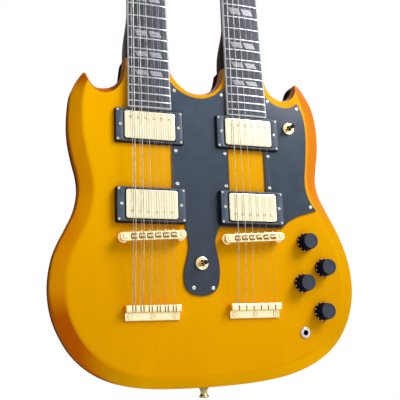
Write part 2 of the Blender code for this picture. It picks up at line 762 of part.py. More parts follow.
def build_neck(unit):
    frame = neck_frame(unit)
    nut_end = SCALE_LENGTH + NUT_LENGTH
    run_up = SCALE_LENGTH - NUT_RUN_UP
    sections = [
        neck_section(BOARD_END, board_width(BOARD_END) / 2, WOOD_OVER_BODY),
        neck_section(SHOULDER - OVERLAP, board_width(SHOULDER) / 2, WOOD_OVER_BODY),
    ]
    sections += heel_sections()
    sections += [
        neck_section(run_up, board_width(run_up) / 2, NECK_DEPTH_NUT),
        neck_section(nut_end, NUT_WIDTH / 2, NECK_DEPTH_NUT),
        neck_section(nut_end + HEAD_STUB, NUT_WIDTH / 2 - HEAD_STUB_INSET, HEAD_STUB_DEPTH),
    ]
    neck = piece("neck_" + unit, [loft(sections)], DARK_WOOD, frame)
    middle = (UNITS[unit], SHOULDER / 2, -BODY_DEPTH / 2)
    clearance = block(middle, (NECK_SPACING, SHOULDER + 2 * SEAT_GAP, BODY_DEPTH + 2 * SEAT_GAP))
    boolean(neck, cutter("body_clearance_" + unit, [clearance]))
    reach = HEAD_LENGTH[unit]
    upper = block((0, reach / 2, HEAD_THICK), (NECK_SPACING, reach, 2 * HEAD_THICK))
    boolean(neck, cutter("head_clearance_" + unit, [upper], head_frame(unit)))
    tenon_low = -BOARD_THICK - TENON_DEPTH
    tenon_high = -BOARD_THICK - OVERLAP
    near = BOARD_END + GLUE_LINE
    far = SHOULDER + TENON_LAP - SEAT_GAP
    tenon = block((0, (near + far) / 2, (tenon_low + tenon_high) / 2),
                  (TENON_WIDTH, far - near, tenon_high - tenon_low))
    boolean(neck, cutter("tenon_" + unit, [tenon], frame), "UNION")
    slab = prism([head_outline(unit)], -HEAD_THICK, -GLUE_LINE)
    boolean(neck, cutter("head_" + unit, [slab], head_frame(unit)), "UNION")
    posts = [rod(POST_RADIUS + SEAT_GAP, -HEAD_THICK - OVERLAP, OVERLAP, 10, place)
             for place, _ in tuner_places(unit)]
    boolean(neck, cutter("post_holes_" + unit, posts, head_frame(unit)))


def board_outline():
    low, high = BOARD_END_WIDTH / 2, NUT_WIDTH / 2
    top = SCALE_LENGTH - GLUE_LINE
    return [(-low, BOARD_END), (low, BOARD_END), (high, top), (-high, top)]


def fret_bar(number):
    along = fret_place(number)
    half = FRET_WIDTH / 2
    width = board_width(along)
    profile = [(-half, -FRET_TANG), (half, -FRET_TANG), (half, 0), (half * 0.75, FRET_HEIGHT * 0.7),
               (0, FRET_HEIGHT), (-half * 0.75, FRET_HEIGHT * 0.7), (-half, 0)]
    reach = width / 2 - FRET_END_INSET
    return prism([profile], -reach, reach), Matrix.Translation((0, along, 0)) @ SIDE_ON


def build_boards():
    for unit in UNITS:
        frame = neck_frame(unit)
        board = piece("fingerboard_" + unit, [prism([board_outline()], -BOARD_THICK, 0)], ROSEWOOD, frame)
        bars = [fret_bar(number) for number in range(1, FRET_COUNT + 1)]
        boolean(board, cutter("frets_" + unit, bars, frame), "UNION")
        middle = (0, SCALE_LENGTH + NUT_LENGTH / 2, (NUT_HEIGHT - BOARD_THICK) / 2)
        nut = block(middle, (NUT_WIDTH, NUT_LENGTH - GLUE_LINE, BOARD_THICK + NUT_HEIGHT))
        piece("nut_" + unit, [nut], IVORY, frame, smooth=False)


# Tuning machines

def tuner_places(unit):
    """Each post's (across, along) and its side, first along the low side and then the high side."""
    for side in (-1, 1):
        for index in range(TUNERS_PER_SIDE[unit]):
            yield (side * POST_OFFSET, FIRST_TUNER + index * TUNER_PITCH[unit]), side


def button_mesh():
    """The worm shaft and its flattened finger button, along +X from the housing's outer side."""
    gap = HEAD_HALF_WIDTH - POST_OFFSET - HOUSING_WIDTH / 2 + BUTTON_CLEARANCE
    stations = [(WORM_END_GAP - WORM_SEAT, WORM_RADIUS, WORM_RADIUS), (gap, WORM_RADIUS, WORM_RADIUS)]
    stations += [(gap + reach * BUTTON_REACH, tall * BUTTON_HALF_HEIGHT, thick * BUTTON_HALF_THICK)
                 for reach, tall, thick in BUTTON_SHAPE]
    rings = []
    for x, tall, thick in stations:
        rings.append([(x, tall * math.cos(a), thick * math.sin(a))
                      for a in (2 * math.pi * i / 8 for i in range(8))])
    return loft(rings)


def build_tuners():
    """On each side of a headstock the housings and posts share one plate on its back."""
    button = button_mesh()
    turns = {-1: math.pi, 1: 0.0}
    for unit in UNITS:
        frame = head_frame(unit)
        places = list(tuner_places(unit))
        for side, label in ((-1, "low"), (1, "high")):
            spots = [place for place, its_side in places if its_side == side]
            middle = (side * POST_OFFSET, (spots[0][1] + spots[-1][1]) / 2 - WORM_OFFSET / 2, 0)
            length = spots[-1][1] - spots[0][1] + HOUSING_LENGTH
            top = -HEAD_THICK - SEAT_GAP
            centre = (middle[0], middle[1], top - TUNER_PLATE_THICK / 2)
            name = "tuner_plate_{}_{}".format(unit, label)
            plate = piece(name, [block(centre, (HOUSING_WIDTH, length, TUNER_PLATE_THICK))], GOLD, frame)
            worms = []
            boxes = []
            posts = []
            size = (HOUSING_WIDTH - 2 * HOUSING_INSET[0], HOUSING_LENGTH - 2 * HOUSING_INSET[1],
                    HOUSING_DEPTH)
            turn = Matrix.Rotation(turns[side], 4, "Y")
            sideways = Matrix.Rotation(math.pi / 2, 4, "Y")
            for place in spots:
                behind = Matrix.Translation((*place, top - HOUSING_DEPTH / 2)) @ turn
                boxes.append((block((0, -WORM_OFFSET / 2, 0), size), behind))
                posts.append(rod(POST_RADIUS, top - TUNER_PLATE_THICK - OVERLAP, POST_HEIGHT, 10, place))
                bore = rod(WORM_RADIUS + RUNNING_GAP, -WORM_SEAT, OVERLAP, 12, around=True)
                mouth = Matrix.Translation((HOUSING_WIDTH / 2, -WORM_OFFSET, 0))
                worms.append((bore, behind @ mouth @ sideways))
            boolean(plate, cutter(name + "_boxes", boxes, frame), "UNION")
            boolean(plate, cutter(name + "_posts", posts, frame), "UNION")
            boolean(plate, cutter(name + "_bores", worms, frame))
        for number, (place, side) in enumerate(places, start=1):
            low = -HEAD_THICK - SEAT_GAP - HOUSING_DEPTH / 2
            behind = frame @ Matrix.Translation((*place, low)) @ Matrix.Rotation(turns[side], 4, "Y")
            axis = behind @ Matrix.Translation((HOUSING_WIDTH / 2, -WORM_OFFSET, 0))
            piece("tuner_button_{}_{:02d}".format(unit, number), [button], GOLD, axis)


# Bridges, saddles and tailpieces

def build_bridges():
    """A bar with a comb of saddles, on two threaded posts with thumbwheels."""
    outline = rounded_rectangle(*BRIDGE_SIZE, BRIDGE_END_RADIUS)
    stud = turned([(0, BRIDGE_TOP + STUD_PROUD), (STUD_RADIUS, BRIDGE_TOP + STUD_PROUD),
                   (STUD_RADIUS, BRIDGE_BASE - SEAT_GAP), (WHEEL_RADIUS, BRIDGE_BASE - SEAT_GAP),
                   (WHEEL_RADIUS, BRIDGE_BASE - SEAT_GAP - WHEEL_THICK),
                   (STUD_RADIUS, BRIDGE_BASE - SEAT_GAP - WHEEL_THICK), (STUD_RADIUS, -STUD_DEPTH),
                   (0, -STUD_DEPTH)], 12)
    for unit in UNITS:
        frame = bridge_frame(unit)
        bridge = piece("bridge_" + unit, [prism([outline], BRIDGE_BASE, BRIDGE_TOP)], GOLD, frame)
        channel = block((0, 0, BRIDGE_TOP), (*BRIDGE_CHANNEL, 2 * (BRIDGE_TOP - BRIDGE_FLOOR)))
        boolean(bridge, cutter("saddle_channel_" + unit, [channel], frame))
        places = [(side * POST_SPACING / 2, 0) for side in (-1, 1)]
        holes = [rod(STUD_RADIUS + SEAT_GAP, BRIDGE_BASE - OVERLAP, BRIDGE_TOP + OVERLAP, 12, place)
                 for place in places]
        boolean(bridge, cutter("bridge_post_holes_" + unit, holes, frame))
        saddles = []
        half = SADDLE_SIZE[1] / 2
        for index in range(6):
            across = (index - 2.5) * COURSE_PITCH
            profile = [(-half, BRIDGE_FLOOR - OVERLAP), (half, BRIDGE_FLOOR - OVERLAP), (half, BRIDGE_TOP),
                       (SADDLE_CREST / 2, SADDLE_TOP), (-SADDLE_CREST / 2, SADDLE_TOP), (-half, BRIDGE_TOP)]
            reach = SADDLE_SIZE[0] / 2
            saddles.append((prism([profile], across - reach, across + reach), SIDE_ON))
        boolean(bridge, cutter("saddles_" + unit, saddles, frame), "UNION")
        for side, label in ((-1, "low"), (1, "high")):
            place = frame @ Matrix.Translation((side * POST_SPACING / 2, 0, 0))
            piece("bridge_post_{}_{}".format(unit, label), [stud], GOLD, place)


def build_tailpieces():
    low, high = TAIL_BAR
    chamfer = TAIL_CHAMFER
    profile = [(TAIL_PLATE_END, SEAT_GAP), (high, SEAT_GAP), (high, TAIL_BAR_TOP - chamfer),
               (high - chamfer, TAIL_BAR_TOP), (low + chamfer, TAIL_BAR_TOP), (low, TAIL_BAR_TOP - chamfer),
               (low, TAIL_PLATE_TOP), (TAIL_PLATE_END, TAIL_PLATE_TOP)]
    for unit in UNITS:
        across = UNITS[unit]
        bar = prism([profile], across - TAIL_WIDTH / 2, across + TAIL_WIDTH / 2)
        tail = piece("tailpiece_" + unit, [(bar, SIDE_ON)], GOLD, smooth=False)
        slots = []
        for offset in tail_offsets(unit):
            middle = (across + offset, (low + high) / 2, TAIL_BAR_TOP)
            height = 2 * (TAIL_BAR_TOP - TAIL_SLOT_FLOOR)
            slots.append(block(middle, (TAIL_SLOT, high - low + 2 * OVERLAP, height)))
        boolean(tail, cutter("tail_slots_" + unit, slots))


# Strings

def string_offsets(unit, pitch, spread):
    """Offsets of the strings from the neck's centre line."""
    courses = [(i - 2.5) * pitch for i in range(6)]
    if unit == "6":
        return courses
    return [course + side * spread / 2 for course in courses for side in (-1, 1)]


def tail_offsets(unit):
    return string_offsets(unit, COURSE_PITCH, SLOT_PAIR_SPREAD)


def gauges(unit):
    if unit == "6":
        return GAUGES_6
    return [gauge for pair in zip(OCTAVE_GAUGES, GAUGES_6) for gauge in pair]


def post_order(unit):
    """The post that each string goes to: outer strings to the nearest posts."""
    count = TUNERS_PER_SIDE[unit]
    places = [place for place, _ in tuner_places(unit)]
    low_side, high_side = places[:count], places[count:]
    return low_side + list(reversed(high_side))


def string_points(unit, index, radius):
    """Ball end, tailpiece slot, saddle, nut, and the turn round the post."""
    tail_x = UNITS[unit] + tail_offsets(unit)[index]
    bridge_x = string_offsets(unit, COURSE_PITCH, PAIR_SPREAD)[index]
    nut_x = string_offsets(unit, NUT_COURSE_PITCH, NUT_PAIR_SPREAD)[index]
    height = TAIL_SLOT_FLOOR + STRING_IN_SLOT
    ball_end = TAIL_BAR[0] - BALL_GAP
    saddle = Vector((bridge_x, 0, SADDLE_TOP + STRING_LIFT + radius))
    at_nut = NUT_HEIGHT + STRING_LIFT + radius
    points = [FACE @ Vector((tail_x, ball_end - BALL_LENGTH, height)),
              FACE @ Vector((tail_x, ball_end, height)),
              FACE @ Vector((tail_x, ball_end + BALL_SHOULDER, height)),
              FACE @ Vector((tail_x, ball_end + SLOT_RUN, height)),
              bridge_frame(unit) @ saddle,
              neck_frame(unit) @ Vector((nut_x, SCALE_LENGTH + NUT_BREAK, at_nut)),
              neck_frame(unit) @ Vector((nut_x, SCALE_LENGTH + NUT_LENGTH, at_nut))]
    post_x, post_y = post_order(unit)[index]
    side = -1 if post_x < 0 else 1
    wrap = (POST_RADIUS + STRING_LIFT + radius) / math.cos(math.radians(22.5))
    head = head_frame(unit)
    for step in range(5):
        angle = math.radians(180 - 45 * step)
        x = post_x + side * wrap * math.cos(angle)
        y = post_y + wrap * math.sin(angle)
        points.append(head @ Vector((x, y, WRAP_LEVEL - step * 0.35 * radius)))
    factors = [BALL_RADIUS / radius] * 2 + [1] * (len(points) - 2)
    return points, factors


def build_strings():
    """A neck's strings make one body: a thin bar through the ball ends joins them."""
    for unit in UNITS:
        along = TAIL_BAR[0] - BALL_GAP - BALL_LENGTH / 2
        width = 5 * COURSE_PITCH + 2 * PAIR_SPREAD
        ends = block((UNITS[unit], along, TAIL_SLOT_FLOOR + STRING_IN_SLOT), (width, BALL_BAR, BALL_BAR))
        strings = piece("strings_" + unit, [ends], WIRE)
        for index, gauge in enumerate(gauges(unit)):
            points, factors = string_points(unit, index, gauge / 2)
            name = "string_{}_{:02d}".format(unit, index + 1)
            boolean(strings, cutter(name, [tube(points, gauge / 2, factors)], Matrix.Identity(4)), "UNION")


# Controls

def build_knobs():
    """Top-hat knobs, hollow below, each with the shaft that turns in the body's hole."""
    low = KNOB_CLEARANCE
    high = low + KNOB_HEIGHT
    skirt = low + KNOB_SKIRT
    pocket = low + KNOB_POCKET[1]
    profile = [(0, high), (KNOB_TOP_RADIUS - KNOB_EDGE, high), (KNOB_TOP_RADIUS, high - KNOB_EDGE),
               (KNOB_TOP_RADIUS + KNOB_DRAFT, skirt + KNOB_SKIRT_BLEND), (KNOB_BASE_RADIUS, skirt),
               (KNOB_BASE_RADIUS, low), (KNOB_POCKET[0], low), (KNOB_POCKET[0], pocket),
               (SHAFT_RADIUS, pocket), (SHAFT_RADIUS, -FACE_WALL), (0, -FACE_WALL)]
    knob = turned(profile, 20)
    for name, place in KNOB_PLACES.items():
        spot = Matrix.Translation((*place, 0))
        piece(name, [knob], BLACK, FACE @ spot)


def build_switches():
    """Each switch is a threaded barrel with its dress nut, and a lever that tips in its bore."""
    seat = GUARD_TOP + SEAT_GAP
    top = seat + SWITCH_NUT_THICK
    floor = SWITCH_FLOOR - SWITCH_DEPTH
    edge = SWITCH_NUT_CHAMFER
    barrel = turned([(0, floor), (SWITCH_BORE, floor), (SWITCH_BORE, top), (SWITCH_NUT_RADIUS - edge, top),
                     (SWITCH_NUT_RADIUS, top - edge), (SWITCH_NUT_RADIUS, seat), (SWITCH_BUSH_RADIUS, seat),
                     (SWITCH_BUSH_RADIUS, -SWITCH_DEPTH), (0, -SWITCH_DEPTH)], SWITCH_SIDES)
    neck = LEVER_HEIGHT - LEVER_TIP_LENGTH
    ball = [(LEVER_BALL * math.sin(angle), LEVER_BALL * math.cos(angle))
            for angle in (math.radians(degrees) for degrees in (30, 60, 90, 120, 150))]
    dome, shoulder = LEVER_TIP_DOME
    lever = turned([(0, LEVER_HEIGHT), (LEVER_TIP_RADIUS * 0.7, LEVER_HEIGHT - dome),
                    (LEVER_TIP_RADIUS, LEVER_HEIGHT - shoulder), (LEVER_TIP_RADIUS * 0.8, neck),
                    (LEVER_RADIUS, neck), (LEVER_RADIUS, ball[0][1])] + ball + [(0, -LEVER_BALL)], 12)
    for name, place in SWITCH_PLACES.items():
        spot = FACE @ Matrix.Translation((*place, 0))
        piece(name + "_switch", [barrel], GOLD, spot)
        piece(name + "_switch_lever", [lever], BLACK, spot)


def build_jack():
    top = SEAT_GAP + JACK_FLANGE_THICK
    profile = [(JACK_BORE, top), (JACK_FLANGE_RADIUS - JACK_CHAMFER, top),
               (JACK_FLANGE_RADIUS, top - JACK_CHAMFER), (JACK_FLANGE_RADIUS, SEAT_GAP),
               (JACK_RADIUS, SEAT_GAP), (JACK_RADIUS, top - JACK_LENGTH),
               (JACK_BORE, top - JACK_LENGTH)]
    jack = turned(profile, 16, closed=True)
    piece("output_jack", [jack], CHROME, FACE @ Matrix.Translation((*JACK_PLACE, 0)))


def build_strap_buttons():
    shape = turned([(0, BUTTON_HEIGHT), (BUTTON_HEAD_RADIUS * 0.8, BUTTON_HEIGHT),
                    (BUTTON_HEAD_RADIUS, BUTTON_HEIGHT - BUTTON_HEAD_EDGE),
                    (BUTTON_WAIST_RADIUS, BUTTON_HEIGHT - BUTTON_HEAD_THICK),
                    (BUTTON_WAIST_RADIUS, BUTTON_BASE_THICK), (BUTTON_BASE_RADIUS, BUTTON_BASE_EDGE),
                    (BUTTON_BASE_RADIUS, 0), (0, 0)], 16)
    edge = min(station[1] for station in OUTER_RUN) * MM - SEAT_GAP
    bottom = Matrix.Translation((BOTTOM_BUTTON_X, edge, -BODY_DEPTH / 2)) @ OUTWARD
    behind = Matrix.Translation((*BACK_BUTTON_PLACE, -BODY_DEPTH - SEAT_GAP))
    behind @= Matrix.Rotation(math.pi, 4, "Y")
    piece("strap_button_bottom", [shape], GOLD, FACE @ bottom)
    piece("strap_button_back", [shape], GOLD, FACE @ behind)


def main():
    cutters = cavity_cutters()
    body = build_body()
    for other in cutters:
        boolean(body, other)
    for unit in UNITS:
        build_neck(unit)
    build_boards()
    build_rear_cover()
    build_pickguard()
    build_pickups()
    build_bridges()
    build_tailpieces()
    build_strings()
    build_tuners()
    build_knobs()
    build_switches()
    build_jack()
    build_strap_buttons()


main()
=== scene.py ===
"""The looks of the double-neck guitar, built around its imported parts.

Shapes are drawn in millimetres and turned to metres when they are dressed. Looks take their
places in millimetres too, and noise in grains a metre. Camera, floor and lamps are in metres,
and tilts in degrees. Most pieces are laid out in face coordinates, as the parts are: across
(X), along (Y) and height above the face (Z). Each neck, headstock and bridge has a frame of
its own.
"""

import math

import bmesh
import bpy
from mathutils import Matrix, Vector


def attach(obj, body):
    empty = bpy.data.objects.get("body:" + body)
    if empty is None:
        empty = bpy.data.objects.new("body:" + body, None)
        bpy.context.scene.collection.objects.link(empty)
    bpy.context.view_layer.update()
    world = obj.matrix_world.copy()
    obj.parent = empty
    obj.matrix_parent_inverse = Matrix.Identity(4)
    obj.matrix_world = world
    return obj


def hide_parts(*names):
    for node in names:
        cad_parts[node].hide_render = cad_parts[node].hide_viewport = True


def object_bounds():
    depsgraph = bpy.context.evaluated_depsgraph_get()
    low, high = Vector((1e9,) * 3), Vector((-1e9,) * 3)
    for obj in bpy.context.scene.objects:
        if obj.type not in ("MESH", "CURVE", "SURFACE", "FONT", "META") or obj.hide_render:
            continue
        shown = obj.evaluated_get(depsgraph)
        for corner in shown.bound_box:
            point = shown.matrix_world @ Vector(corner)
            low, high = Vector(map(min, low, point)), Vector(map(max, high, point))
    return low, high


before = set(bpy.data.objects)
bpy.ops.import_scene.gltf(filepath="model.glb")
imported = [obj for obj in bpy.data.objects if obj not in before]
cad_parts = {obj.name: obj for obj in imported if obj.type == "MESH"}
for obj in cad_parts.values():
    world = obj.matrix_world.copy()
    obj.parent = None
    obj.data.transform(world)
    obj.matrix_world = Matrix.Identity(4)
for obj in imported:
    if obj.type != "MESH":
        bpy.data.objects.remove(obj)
cad_low, cad_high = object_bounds()
MM = 0.001
GUITAR = "guitar"

# How far a cutter passes the surface that it opens
PAST = 1

# Body
BODY_DEPTH = 36
SHOULDER = 237
SEAT = 0.3
FACE_WALL = 7
OUTLINE_STEPS = 6
SHOULDER_TUCK = 0.3
BACK_SHARE = 0.6

# Necks
NECK_SPACING = 136
NECK_TILT = 2.0
SCALE_LENGTH = 628
FRET_COUNT = 22
BOARD_RISE = 15
BOARD_THICK = 5.5
BOARD_OVERHANG = 8.2
BOARD_END = SCALE_LENGTH * 2 ** (-FRET_COUNT / 12) - BOARD_OVERHANG
BOARD_END_WIDTH = 57.4
BOARD_RADIUS = 400
BINDING = 1.6
BINDING_LIFT = 0.04
NUT_WIDTH = 44.6
NUT_LENGTH = 5
NUT_HEIGHT = 2.0
FRET_WIDTH = 2.4
FRET_HEIGHT = 1.2
NECK_DEPTH_NUT = 14.5
NECK_DEPTH_HEEL = 18
HEEL_DEPTH = 34.5
HEEL_LENGTH = 64
HEEL_HALF_WIDTH = 29.3
# Past the nut: reach along, narrowing of the half width, and extra depth
VOLUTE = [(0, 0, -0.2), (4, 0.3, 1.1), (8, 1.2, 1.7), (13, 3.5, 0.9), (18, 6.0, -0.3)]
INLAY_FRETS = (3, 5, 7, 9, 12, 15, 17, 19)
INLAY_SLANT = 3.5
INLAY_SHARE = 0.5
INLAY_EDGES = ((-18, -2), (2, 18))

# Headstocks
HEAD_TILT = 14
# No outline point lies closer to the foot's corner, so that the rounded edge can't cross there
HEAD_FOOT = 2.5
HEAD_THICK = 14
HEAD_BACK = -HEAD_THICK - SEAT
HEAD_LENGTH = {"12": 226, "6": 172}
HEAD_HALF_WIDTH = 37
TUNERS_PER_SIDE = {"12": 6, "6": 3}
TUNER_PITCH = {"12": 30, "6": 42}
FIRST_TUNER = 46
POST_OFFSET = 24
POST_RADIUS = 3.0
POST_HEIGHT = 11
WRAP_LEVEL = 7.4
HOUSING = (13, 16, 10.5)
HOUSING_WIDTH = 15
PLATE_THICK = 1.5
WORM_OFFSET = 5
WORM_RADIUS = 2.0
BUTTON_GAP = 8.5
BUTTON_REACH = 20
BUTTON_HALF_HEIGHT = 8.5
BUTTON_HALF_THICK = 4.2
# Along a tuner button: shares of its reach, its height and its thickness
BUTTON_STATIONS = [(0.02, 0.34, 0.55), (0.08, 0.5, 0.72), (0.16, 0.68, 0.82), (0.3, 0.88, 0.9),
                   (0.46, 0.98, 0.98), (0.62, 1.0, 1.0), (0.76, 0.94, 0.98), (0.88, 0.78, 0.88),
                   (0.95, 0.58, 0.7), (0.99, 0.34, 0.42), (1.0, 0.16, 0.2)]
# How far a side's plate reaches past its outer housings, and its screws' way in from there
PLATE_END = 9.5
PLATE_SCREW = 1.6
BUSH_RADIUS = 6.6
BUSH_NUT_RADIUS = 5.6
TRUSS_COVER = [(9, 3), (10.5, 6), (10, 10), (7.5, 16), (6.2, 23), (5.8, 30), (4.2, 34), (0, 36)]
TRUSS_SCREWS = [(-6, 8), (6, 8), (0, 31)]

# Pickguard and pickups
GUARD_THICK = 2.0
GUARD_TOP = SEAT + GUARD_THICK
GUARD_EDGE = 0.5
GUARD_WINDOW = (40.5, 93)
SAME_POINT = 0.01
GUARD_OPENING = (72, 40)
RING_SIZE = (91, 46)
RING_HEIGHT = {"neck": 5.5, "bridge": 9}
PICKUP_LINES = {"neck": BOARD_END - 0.5 - RING_SIZE[1] / 2, "bridge": 41.5}
COVER_SIZE = (67, 37)
COVER_PROUD = 2.6
COVER_GAP = 1.0
COVER_DEPTH = 16
CORNER = 3
RING_DRAFT = 2
RING_EDGE = 0.7
RING_SCREWS = (41.8, 19.2)
HEIGHT_SCREWS = 38.5
POLE_OFFSET = 9.5
POLE_PITCH = 10.2
COURSE_PITCH = 10.1

# Bridges and tailpieces
BRIDGE_CENTRE = 1.7
BRIDGE_SLANT = 3.0
BRIDGE_SIZE = (84, 11)
BRIDGE_CORNER = 4.7
BRIDGE_EDGE = 0.8
POCKET = (8.0, 6.6)
SADDLE_REACH = (3.5, 2.4)
BRIDGE_BASE = 8.5
BRIDGE_TOP = 16
BRIDGE_FLOOR = 11
SADDLE_TOP = 18.2
STUD_SPACING = 73
STUD_RADIUS = 2.7
STUD_DEPTH = 18
STUD_THREADS = 14
WHEEL_RADIUS = 7
WHEEL_THICK = 3
TAIL_WIDTH = 69
TAIL_BAR = (-91, -82)
TAIL_BAR_TOP = 11.5
TAIL_PLATE_END = -100.5
TAIL_PLATE_TOP = 3
TAIL_SLOT = 1.5
TAIL_GROOVE = 3.8
TAIL_SLOT_FLOOR = 7.0
TAIL_SCREWS = [(-28.6, -95.8), (0, -95.8), (28.6, -95.8)]
TAIL_SINK = (3.4, 0.8)

# Strings, from the low side to the high side
STRING_LIFT = 0.12
NUT_COURSE_PITCH = 7.1
PAIR_SPREAD = 3.2
NUT_PAIR_SPREAD = 2.1
SLOT_PAIR_SPREAD = 3.7
GAUGES_6 = [1.17, 0.91, 0.66, 0.43, 0.33, 0.25]
OCTAVE_GAUGES = [0.66, 0.46, 0.36, 0.25, 0.33, 0.25]
WOUND_FROM = 0.45
BALL_RADIUS = 1.5
STRING_TURNS = 3
TURN_STEPS = 16
STRING_IN_SLOT = 1.2

# Controls: across and along
KNOBS = {
    "knob_volume_12": (148, -1.5),
    "knob_volume_6": (173, -36),
    "knob_tone_12": (140.5, -56.5),
    "knob_tone_6": (167.5, -94),
}
KNOB_BASE_RADIUS = 12.2
KNOB_TOP_RADIUS = 10.6
KNOB_LOW = 1.0
KNOB_HEIGHT = 17
KNOB_FLUTES = 24
KNOB_DOTS = 12
SHAFT_RADIUS = 3
SHAFT_HOLE = 3.15
SWITCHES = {"pickup": (131, 156), "neck": (-3, -31)}
SWITCH_NUT_RADIUS = 8.6
SWITCH_NUT_THICK = 3.6
SWITCH_BORE = 3.9
SWITCH_DEPTH = 12
SWITCH_BUSH_RADIUS = 6
LEVER_RADIUS = 1.5
LEVER_TIP_RADIUS = 3.0
LEVER_HEIGHT = 23
LEVER_TIP_LENGTH = 13
LEVER_BALL = 3.7
JACK_PLACE = (140, -121)
JACK_FLANGE_RADIUS = 6.9
JACK_FLANGE_THICK = 2.2
JACK_RADIUS = 4.7
JACK_BORE = 3.4
JACK_LENGTH = 22
COVER_LIP = 5
COVER_THICK = 2
# How far the cover, and then its screws, lie below what is round them
REAR_GAP = 0.1
REAR_SINK = 0.9
# From the strap button's flat end up: radius and height
STRAP_PROFILE = [(5.7, 0), (6, 0.3), (6, 1.0), (4.9, 2.4), (4.4, 3.6), (4.2, 5.5), (4.3, 7.4), (5, 8.8),
                 (6.1, 9.9), (6.4, 10.6), (6.2, 11.4), (5.3, 12), (3.9, 12), (3.6, 11.2), (0.3, 11.2)]
BOTTOM_BUTTON_X = 2
BACK_BUTTON_PLACE = (-128, 160)

# Screw heads: radius and height
REAR_HEAD = (2.6, 1.0)
GUARD_HEAD = (2.6, 1.2)
POLE_HEAD = (2.3, 0.9)
RING_HEAD = (1.6, 0.8)
HEIGHT_HEAD = (2.2, 1.3)
TRUSS_HEAD = (1.7, 0.9)
SADDLE_HEAD = (1.7, 1.2)
ANCHOR_HEAD = (2.9, 1.4)
TUNER_HEAD = (1.2, 0.7)
STRAP_HEAD = (3.3, 1.0)

# Camera, floor and lamps; a lamp is its place, its aim, its size and its power
CAMERA_LENS = 60.45
CAMERA_PLACE = Vector((-0.2972, -0.8332, -0.1227))
CAMERA_RIGHT = Vector((0.9392, -0.3416, -0.0337))
CAMERA_UP = Vector((-0.0376, -0.2000, 0.9791))
FLOOR_SIZE = 4
FLOOR_DROP = 0.35
SKY_LIGHT = 0.36
LAMPS = {
    "key": ((1.4, -1.5, 1.5), (0, 0, 0.1), 1.15, 50),
    "side": ((1.9, -1.25, 0.7), (0, 0, 0), 1.6, 7),
}

# Places of screws: across and along
GUARD_SCREWS = [(-33, 197), (34, 197), (102, 194), (147, 187), (-33, 115), (-32, 71), (35.5, 115.5),
                (35.5, 71), (98.5, 115.5), (98.5, 71), (159, 47), (-14, -61.5), (12, -62)]
COVER_SCREWS = [(121, 4), (172, 9), (197, -60), (168, -127), (119.5, -125)]

# Body outline: rim across, rim along, face across, face along
OUTER_RUN = [
    (-98.2, 237, -97.4, 237), (-98.8, 232.5, -97.7, 231.5), (-99.7, 226.5, -98.2, 225),
    (-100.4, 220.5, -98.9, 218), (-101.3, 215, -100.1, 211), (-103.2, 210, -102.3, 204.5),
    (-106.6, 205.2, -105.8, 198.5), (-111, 200.9, -110.6, 193), (-117, 197.6, -117, 188.9),
    (-124.5, 195.9, -124.5, 187), (-131.5, 195.9, -131, 187.6), (-136.8, 197.9, -136, 189.8),
    (-141, 202.2, -140, 193.2), (-144.6, 208.5, -143.5, 197.2), (-148.9, 215, -146.2, 200.8),
    (-153.2, 211.3, -148.2, 198), (-160, 200.5, -150.8, 189), (-166, 185.5, -153.2, 173),
    (-168.7, 158, -153.8, 154), (-168, 130, -152, 131),
    (-163, 103, -147, 105), (-157, 79, -141.5, 81), (-155.5, 59, -139, 58),
    (-160, 36, -142.5, 33), (-170, 14, -152, 8), (-180, -6, -162.5, -13),
    (-187, -27, -169.5, -31), (-190.5, -56, -172.5, -57), (-187.5, -86, -169.5, -83),
    (-178, -113, -161.5, -106), (-161, -140, -147, -128), (-137, -161, -126, -147),
    (-106, -175, -101, -160.5), (-68, -181.5, -66, -167.5), (-20, -183.5, -20, -169.5),
    (30, -183, 30, -168.5), (80, -180, 78, -165), (125, -172.5, 120, -156.5),
    (163, -158, 153.5, -142.5), (192, -137, 178, -123.5), (212, -108, 194, -98.5),
    (222, -76, 201.5, -72), (223, -46, 202, -44), (218, -18, 197.5, -16),
    (207, 12, 187, 9), (192.5, 40, 172, 37), (180.5, 64, 160.5, 62), (176.5, 84, 156, 84),
    (179, 106, 157.5, 107), (183.5, 134, 161, 135), (183.5, 166, 161, 164),
    (178, 194, 157.5, 187), (168, 213, 153, 202), (160, 224, 150.5, 210),
    (154, 228, 148.5, 214), (149.5, 222.5, 146.5, 210.5), (145.5, 212.5, 143.5, 205.5),
    (137, 203.5, 136, 199.5), (124.5, 201, 124.5, 197.5), (112.5, 205.5, 112, 202.5),
    (104.5, 214, 104, 211.5), (100.7, 222.5, 100.4, 221), (99.2, 230, 99, 229), (98.5, 237, 98.4, 237),
]
CENTRE_RUN = [
    (38.4, 237, 39.2, 237), (37.4, 232, 38.6, 231), (36.2, 226.5, 37.7, 225), (34.4, 220.5, 36.2, 218),
    (31.4, 214.5, 33, 211.5), (26.4, 208.6, 27.8, 204.8), (19.8, 203.9, 20.8, 199.4),
    (12, 201, 12.5, 195.8), (3.5, 200.1, 3.7, 194.6), (-5, 200.8, -5.2, 195.2),
    (-13.5, 203.3, -14, 198), (-21.5, 208.6, -22.4, 204), (-29, 215.3, -30.2, 211.8),
    (-34.5, 221.8, -35.6, 219.6), (-37.8, 229, -38.4, 228), (-39, 237, -39.3, 237),
]
# Across the bevel: share of the way from the rim to the face line, and the height
BEVEL_CURVE = [(0.00625, -11.06), (0.025, -10.25), (0.056, -9.56), (0.1, -9), (0.5, -5), (0.85, -1.5),
               (0.925, -0.844), (1.0, -0.375), (1.075, -0.094), (1.15, -0.01), (1.2, 0)]
# Round the back's edge: inset from the rim, and the height
BACK_CURVE = [(3.6, -36), (3.0, -36), (1.2, -35.6), (0.35, -34.8), (0, -33.5), (0, -32.5), (0, -13),
              (0, -12)]
CONTROL_CAVITY = [(124, 20), (158, 20), (193, -24), (193, -88), (176, -114), (152, -136), (126, -136),
                  (119, -108)]

